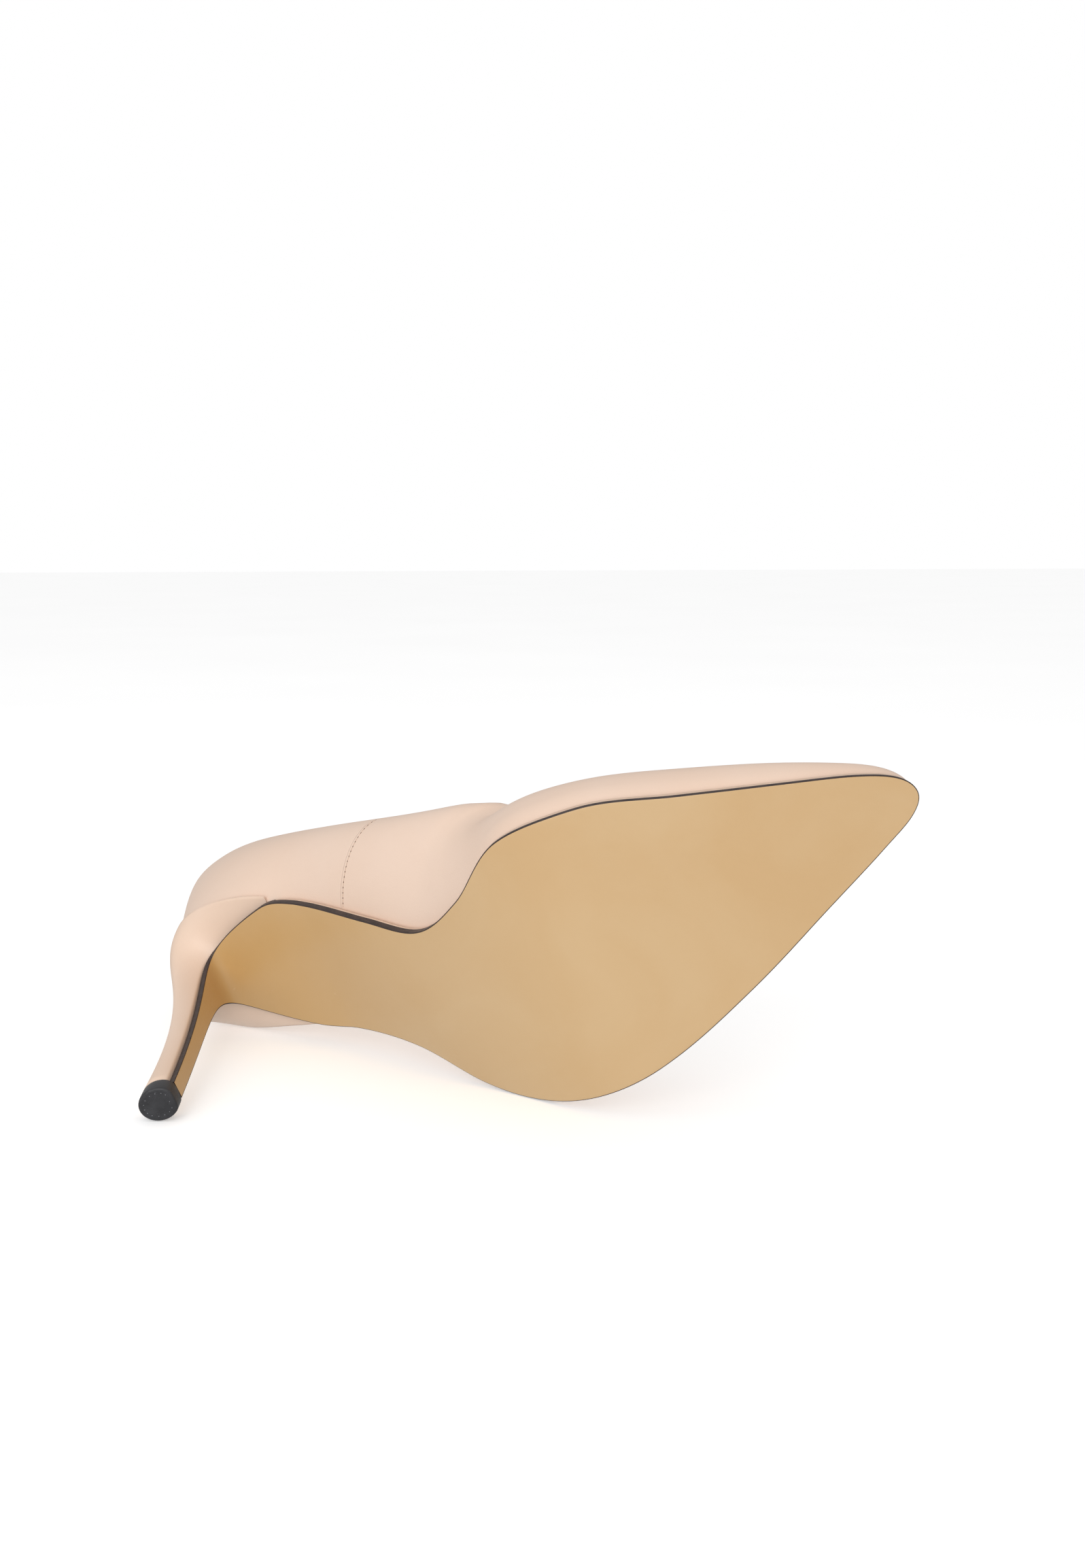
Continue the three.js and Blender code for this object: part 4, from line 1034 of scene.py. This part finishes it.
def behind_flap(points):
    """How far each point is behind the flap's back."""
    flat = points.reshape(-1, 3)[:, [0, 2]]
    nearest = np.argmin(((flat[:, None] - breast_line[None]) ** 2).sum(-1), axis=1)
    offset = flat - breast_line[nearest]
    depth = offset[:, 0] * breast_ahead[nearest, 1] - offset[:, 1] * breast_ahead[nearest, 0]
    return (depth - flap_back[nearest]).reshape(points.shape[:-1])


HEEL_DOWN = np.linspace(0, 1, 70)
HEEL_ROUND = np.linspace(0, 1, 36)
COVER_SOFTENED = 3  # how often the edge that is turned in is eased
TURNED_IN = np.array([0.2, 0.5, 0.9, 1.4, 2.0, 2.6])
SKIVED = 0.12
heel_grid = []
for side in (-1, 1):
    turns = np.repeat(np.linspace(0, 1, 240)[None], len(HEEL_DOWN), 0)
    clear = behind_flap(heel_side(turns, HEEL_DOWN[:, None] + 0 * turns, side))
    limit = []
    for line, depths in zip(turns, clear):
        past = np.flatnonzero(depths < 0)
        past = past[past > 60]
        k = past[0] if len(past) else len(line) - 1
        share = depths[k - 1] / (depths[k - 1] - depths[k]) if len(past) else 1
        limit.append(line[k - 1] + (line[k] - line[k - 1]) * share)
    turn = np.array(limit)[:, None] * HEEL_ROUND[None]
    around_heel = heel_side(turn, HEEL_DOWN[:, None] + 0 * turn, side)
    # the edge that is turned in over the front of the block, under the flap
    turned_in = np.repeat(around_heel[:, -1:], len(TURNED_IN), 1)
    turned_in[..., 1] -= side * TURNED_IN * smooth_step(HEEL_DOWN, -0.05, 0.12)[:, None]
    around_heel = np.concatenate([around_heel, turned_in], 1)
    for soften in range(COVER_SOFTENED):
        around_heel[:, -9:-1] = around_heel[:, -9:-1] / 2 + (around_heel[:, -10:-2] + around_heel[:, -8:]) / 4
    heel_grid.append(around_heel)
heel_points = np.concatenate([heel_grid[0][:, :0:-1], heel_grid[1]], 1)
wide = heel_points.shape[1]
heel_faces = []
for i in range(len(HEEL_DOWN) - 1):
    for k in range(wide - 1):
        heel_faces.append([i * wide + k, (i + 1) * wide + k, (i + 1) * wide + k + 1, i * wide + k + 1])
heel_points = heel_points.reshape(-1, 3)
heel_normals = vertex_normals(heel_points, heel_faces)
if heel_normals[wide // 2][0] > 0:
    heel_faces = [ring[::-1] for ring in heel_faces]
    heel_normals = -heel_normals
each = np.ones(len(heel_points))
from_front = np.minimum(np.arange(wide), np.arange(wide)[::-1])
thinned = SKIVED + (HEEL_LEATHER - SKIVED) * smooth_step(from_front, len(TURNED_IN) - 1, len(TURNED_IN) + 4)
thinned = np.tile(thinned, len(HEEL_DOWN))
cover = sheet(heel_points, heel_normals, heel_faces, -thinned, 0 * each, 0.05 * each)
heel_leather = finish(
    "heel_leather",
    grain,
    {
        "Colour": colour(235, 208, 187),
        "Mottle colour": colour(231, 202, 179),
        "Mottle scale": 30.0,
        "Pores": 3000.0,
        "Base roughness": 0.34,
    },
    0.00003,
    Coat_Weight=0.12,
    Coat_Roughness=0.35,
)
piece("heel_wrap", *cover, [heel_leather], "heel_leather", ["heel_cover"])

# ---- Top piece and its dowel -----------------------------------------------------------------------
# A hard black rubber lift, moulded round a steel dowel that is driven up into the heel's tube. It is
# rounded behind and straight in front, with a ring of small moulded pips on its tread.
DOWEL_RADIUS = 1.1
SOCKET = 3.0
TUBE_LEAN = 0.08
rounds = np.linspace(0, 1, 40)
right = np.column_stack(tip_edge(rounds, 1, -0.15))
left = np.column_stack(tip_edge(rounds[:0:-1], -1, -0.15))
front = right[-1] + (left[0] - right[-1]) * np.linspace(0, 1, 12)[1:-1, None]
outline = np.vstack([right, front, left])
for soften in range(14):
    outline = outline * 0.5 + (np.roll(outline, 1, 0) + np.roll(outline, -1, 0)) * 0.25
outline = outline.mean(0) + (outline - outline.mean(0)) * 1.006
along = unit(np.roll(outline, -1, 0) - np.roll(outline, 1, 0))
rim_out = np.column_stack([along[:, 1], -along[:, 0]])
if ((outline - outline.mean(0)) * rim_out).sum() < 0:
    rim_out = -rim_out
tip_middle = np.array([BACK_X + TIP_BACK + TIP_DEPTH / 2, seat_middle])
tip_turn = np.arctan2(*(outline - tip_middle).T[::-1])
bore = np.column_stack([np.cos(tip_turn), np.sin(tip_turn)]) * (DOWEL_RADIUS + GAP)
bore_top = tip_middle
bore_low = tip_middle + (TUBE_LEAN * SOCKET, 0)
PROFILE = [(1.1, 0.0), (0.75, 0.0), (0.42, 0.04), (0.18, 0.16), (0.05, 0.36), (0, 0.7), (0, 2.6), (0.02, 4.6)]
PROFILE += [(0.1, 4.86), (0.3, 5.0), (0.8, 5.0)]
rings = [np.column_stack([outline - rim_out * inset, np.full(len(outline), z)]) for inset, z in PROFILE]
rings.append(np.column_stack([bore + bore_top, np.full(len(outline), TOP_PIECE)]))
rings.append(np.column_stack([bore + bore_low, np.full(len(outline), TOP_PIECE - SOCKET + 0.2)]))
lift_points = np.vstack(rings)
around = len(outline)
lift_faces = []
for i in range(len(rings) - 1):
    for m in range(around):
        n = (m + 1) % around
        lift_faces.append([i * around + m, i * around + n, (i + 1) * around + n, (i + 1) * around + m])
lift_faces.append(list(range(around)))
lift_faces.append(list(range((len(rings) - 1) * around, len(rings) * around))[::-1])

rubber, given, out = effect(
    "moulded_rubber",
    [("Colour", "Color", (0.03, 0.03, 0.03, 1)), ("Dust colour", "Color", (0.2, 0.2, 0.2, 1))],
)
place = object_place(rubber)
dust = ranged(rubber, noise(rubber, place, 1400.0, 6.0), 0.6, 0.78, 0.0, 0.55)
cloudy = ranged(rubber, noise(rubber, place, 260.0, 4.0), 0.4, 0.7, 0.0, 0.25)
rubber.links.new(
    mixed(rubber, reckoned(rubber, "MAXIMUM", dust, cloudy), given["Colour"], given["Dust colour"]),
    out["Colour"],
)
rubber.links.new(ranged(rubber, cloudy, 0.0, 0.25, 0.45, 0.62), out["Roughness"])
rubber.links.new(noise(rubber, place, 2600.0, 4.0), out["Height"])
top_rubber = finish(
    "top_piece_rubber",
    rubber,
    {"Colour": colour(40, 40, 43), "Dust colour": colour(84, 84, 88)},
    0.00006,
)
pip_rubber = finish(
    "pip_rubber",
    rubber,
    {"Colour": colour(120, 120, 124), "Dust colour": colour(160, 160, 164)},
    0.00003,
)
lift_finish = [0] * len(lift_faces)
PIPS = 14
for k in range(PIPS):
    m = int(around * k / PIPS)
    spot = outline[m] - rim_out[m] * 1.5
    middle = np.array([spot[0], spot[1], 0.02])
    pip_size = (0.14, 0.14, 0.05)
    places, faces = bead(
        middle, np.array([1.0, 0, 0]), np.array([0, 1.0, 0]), np.array([0, 0, 1.0]), pip_size
    )
    lift_faces += [[v + len(lift_points) for v in ring] for ring in faces]
    lift_points = np.vstack([lift_points, places])
    lift_finish += [1] * len(faces)
rubbers = [top_rubber, pip_rubber]
piece("top_lift", lift_points, lift_faces, rubbers, "top_piece_rubber", ["top_piece"], lift_finish, 40)
wear("top_piece_dowel", plain_steel)

# ---- Ball pad and sock lining ----------------------------------------------------------------------
# A pad of latex foam under the ball of the foot, level with the tuck board, and a thin leather sock glued
# over both, from the back of the seat to the toe.
BOARD_FLOOR = 7.3
INNER_BOARD = 1.4
SOCK_FLOOR = 8.9
SOCK = 1.0
SOCK_INSET = 2.3
FOAM_FROM = 120.0
foam, given, out = effect(
    "foam_cells",
    [("Colour", "Color", (0.9, 0.85, 0.8, 1)), ("Cell colour", "Color", (0.6, 0.55, 0.5, 1))],
)
cell = put(foam, "ShaderNodeTexVoronoi", {"Vector": object_place(foam), "Scale": 2600.0}).outputs["Distance"]
celled = mixed(foam, ranged(foam, cell, 0.1, 0.5, 1.0, 0.0), given["Colour"], given["Cell colour"])
foam.links.new(celled, out["Colour"])
foam.links.new(ranged(foam, cell, 0.0, 1.0, 0.85, 1.0), out["Roughness"])
foam.links.new(cell, out["Height"])
foam_colours = {"Colour": colour(239, 230, 214), "Cell colour": colour(196, 184, 164)}
latex_foam = finish("foam", foam, foam_colours, 0.0001)
PAD_ACROSS = [0, 0.02, 0.06, 0.14, 0.3, 0.5, 0.7, 0.86, 0.94, 0.98, 1]


def rounded_section(floor, thickness):
    """A ring across a flat sheet, with its edge rounded by half its thickness."""
    half = thickness / 2
    bend = [(half * (1 - math.sin(a)), half * (1 - math.cos(a))) for a in np.linspace(0, math.pi, 9)[1:-1]]
    ring = [(a, half, floor) for a in PAD_ACROSS]
    ring += [(1, inset, floor + rise) for inset, rise in bend]
    ring += [(a, half, floor + thickness) for a in reversed(PAD_ACROSS)]
    return ring + [(0, inset, floor + rise) for inset, rise in reversed(bend)]


def sheet_ring(rows):
    def ring(across, inset, rise):
        return sole_place(rows, across, FEATHER_INSET + SOCK_INSET + inset, rise)

    return ring


pad_rows = LAST_ROW - (LAST_ROW - row_at(FOAM_FROM + 0.4)) * np.linspace(0, 1, 90) ** 1.3
pad = tube(sheet_ring(pad_rows), rounded_section(BOARD_FLOOR, INNER_BOARD), ["last"])
ball_foam = piece("ball_foam", *pad, [latex_foam], "foam", ["ball_pad"], sharp=40)

sock_leather = finish(
    "sock_leather",
    grain,
    {
        "Colour": colour(226, 202, 174),
        "Mottle colour": colour(210, 182, 150),
        "Mottle scale": 38.0,
        "Pores": 2400.0,
        "Base roughness": 0.5,
    },
    0.00006,
)
half_rows = LAST_ROW / 2 * (1 - np.linspace(0, 1, 90) ** 1.3)
sock_rows = np.concatenate([LAST_ROW / 2 + half_rows[:-1], LAST_ROW / 2 - half_rows[::-1]])
sock = tube(sheet_ring(sock_rows), rounded_section(SOCK_FLOOR, SOCK), [])
piece("sock", *sock, [sock_leather], "sock_leather", ["sock_lining"])

# ---- Table, ground and light -----------------------------------------------------------------------
# A white table that the shoe's lateral side rests on, and level ground under it for the views in which it
# stands. Each shows only from in front. A white studio surrounds them, with a soft box over the table.
# The table's normal is typed in from the convex hull of this shoe's meshes, so it doesn't follow their sizes.
TABLE_NORMAL = Vector((0.366, -0.916, 0.164)).normalized()


def backdrop(name, normal, offset, size):
    material = bpy.data.materials.new(name)
    material.use_nodes = True
    tree = material.node_tree
    tree.nodes.clear()
    speckle = noise(tree, object_place(tree), 3.0, 2.0)
    paper = mixed(tree, speckle, colour(250, 250, 250), colour(246, 246, 246))
    diffuse = put(tree, "ShaderNodeBsdfDiffuse", {"Color": paper}).outputs[0]
    clear = put(tree, "ShaderNodeBsdfTransparent").outputs[0]
    seen = put(tree, "ShaderNodeLightPath").outputs["Is Camera Ray"]
    front_face = reckoned(tree, "SUBTRACT", 1.0, put(tree, "ShaderNodeNewGeometry").outputs["Backfacing"])
    shown = reckoned(tree, "MULTIPLY", seen, front_face)
    lift = put(tree, "ShaderNodeEmission", {"Color": paper, "Strength": 0.36}).outputs[0]
    lit = put(tree, "ShaderNodeAddShader", {0: diffuse, 1: lift}).outputs[0]
    mix = put(tree, "ShaderNodeMixShader", {0: shown, 1: clear, 2: lit}).outputs[0]
    put(tree, "ShaderNodeOutputMaterial", {"Surface": mix})
    mesh = bpy.data.meshes.new(name)
    corners = [(-size, -size, 0), (size, -size, 0), (size, size, 0), (-size, size, 0)]
    mesh.from_pydata(corners, [], [(0, 1, 2, 3)])
    mesh.materials.append(material)
    plane = bpy.data.objects.new(name, mesh)
    towards = normal.to_track_quat("Z", "Y").to_matrix().to_4x4()
    plane.matrix_world = Matrix.Translation(normal * offset) @ towards
    bpy.context.scene.collection.objects.link(plane)
    return plane


bpy.context.view_layer.update()
lowest = 1e9
for shown in bpy.context.scene.objects:
    if shown.type == "MESH" and not shown.hide_render:
        places = np.empty(len(shown.data.vertices) * 3)
        shown.data.vertices.foreach_get("co", places)
        lowest = min(lowest, (places.reshape(-1, 3) @ np.array(TABLE_NORMAL)).min())
backdrop("table", TABLE_NORMAL, lowest - 0.0002, 12)
backdrop("ground", Vector((0, 0, 1)), -0.0002, 12)


def soft_box(name, direction, distance, size, power):
    light = bpy.data.lights.new(name, "AREA")
    light.shape = "DISK"
    light.size = size
    light.energy = power
    lamp = bpy.data.objects.new(name, light)
    lamp.location = direction.normalized() * distance
    lamp.rotation_mode = "QUATERNION"
    lamp.rotation_quaternion = direction.to_track_quat("Z", "Y")
    bpy.context.scene.collection.objects.link(lamp)


soft_box("over_table", TABLE_NORMAL + view_back * 0.35 - view_right * 0.35, 1.4, 1.4, 1.0)
soft_box("by_camera", view_back + TABLE_NORMAL * 0.15 - view_right * 0.3, 1.8, 1.8, 19)

studio = bpy.data.worlds.new("studio")
studio.use_nodes = True
tree = studio.node_tree
tree.nodes.clear()
direction = put(tree, "ShaderNodeTexCoord").outputs["Generated"]
facing = put(tree, "ShaderNodeVectorMath", {0: direction, 1: tuple(TABLE_NORMAL)}, operation="DOT_PRODUCT")
strength = ranged(tree, facing.outputs["Value"], -0.5, 0.6, 0.58, 0.66)
seen = put(tree, "ShaderNodeLightPath").outputs["Is Camera Ray"]
level = put(tree, "ShaderNodeMix", {0: seen, 2: strength, 3: 1.0}, data_type="FLOAT").outputs[0]
sky = put(tree, "ShaderNodeBackground", {"Color": (1, 1, 1, 1), "Strength": level}).outputs[0]
put(tree, "ShaderNodeOutputWorld", {"Surface": sky})
bpy.context.scene.world = studio
bpy.context.scene.view_settings.view_transform = "Standard"
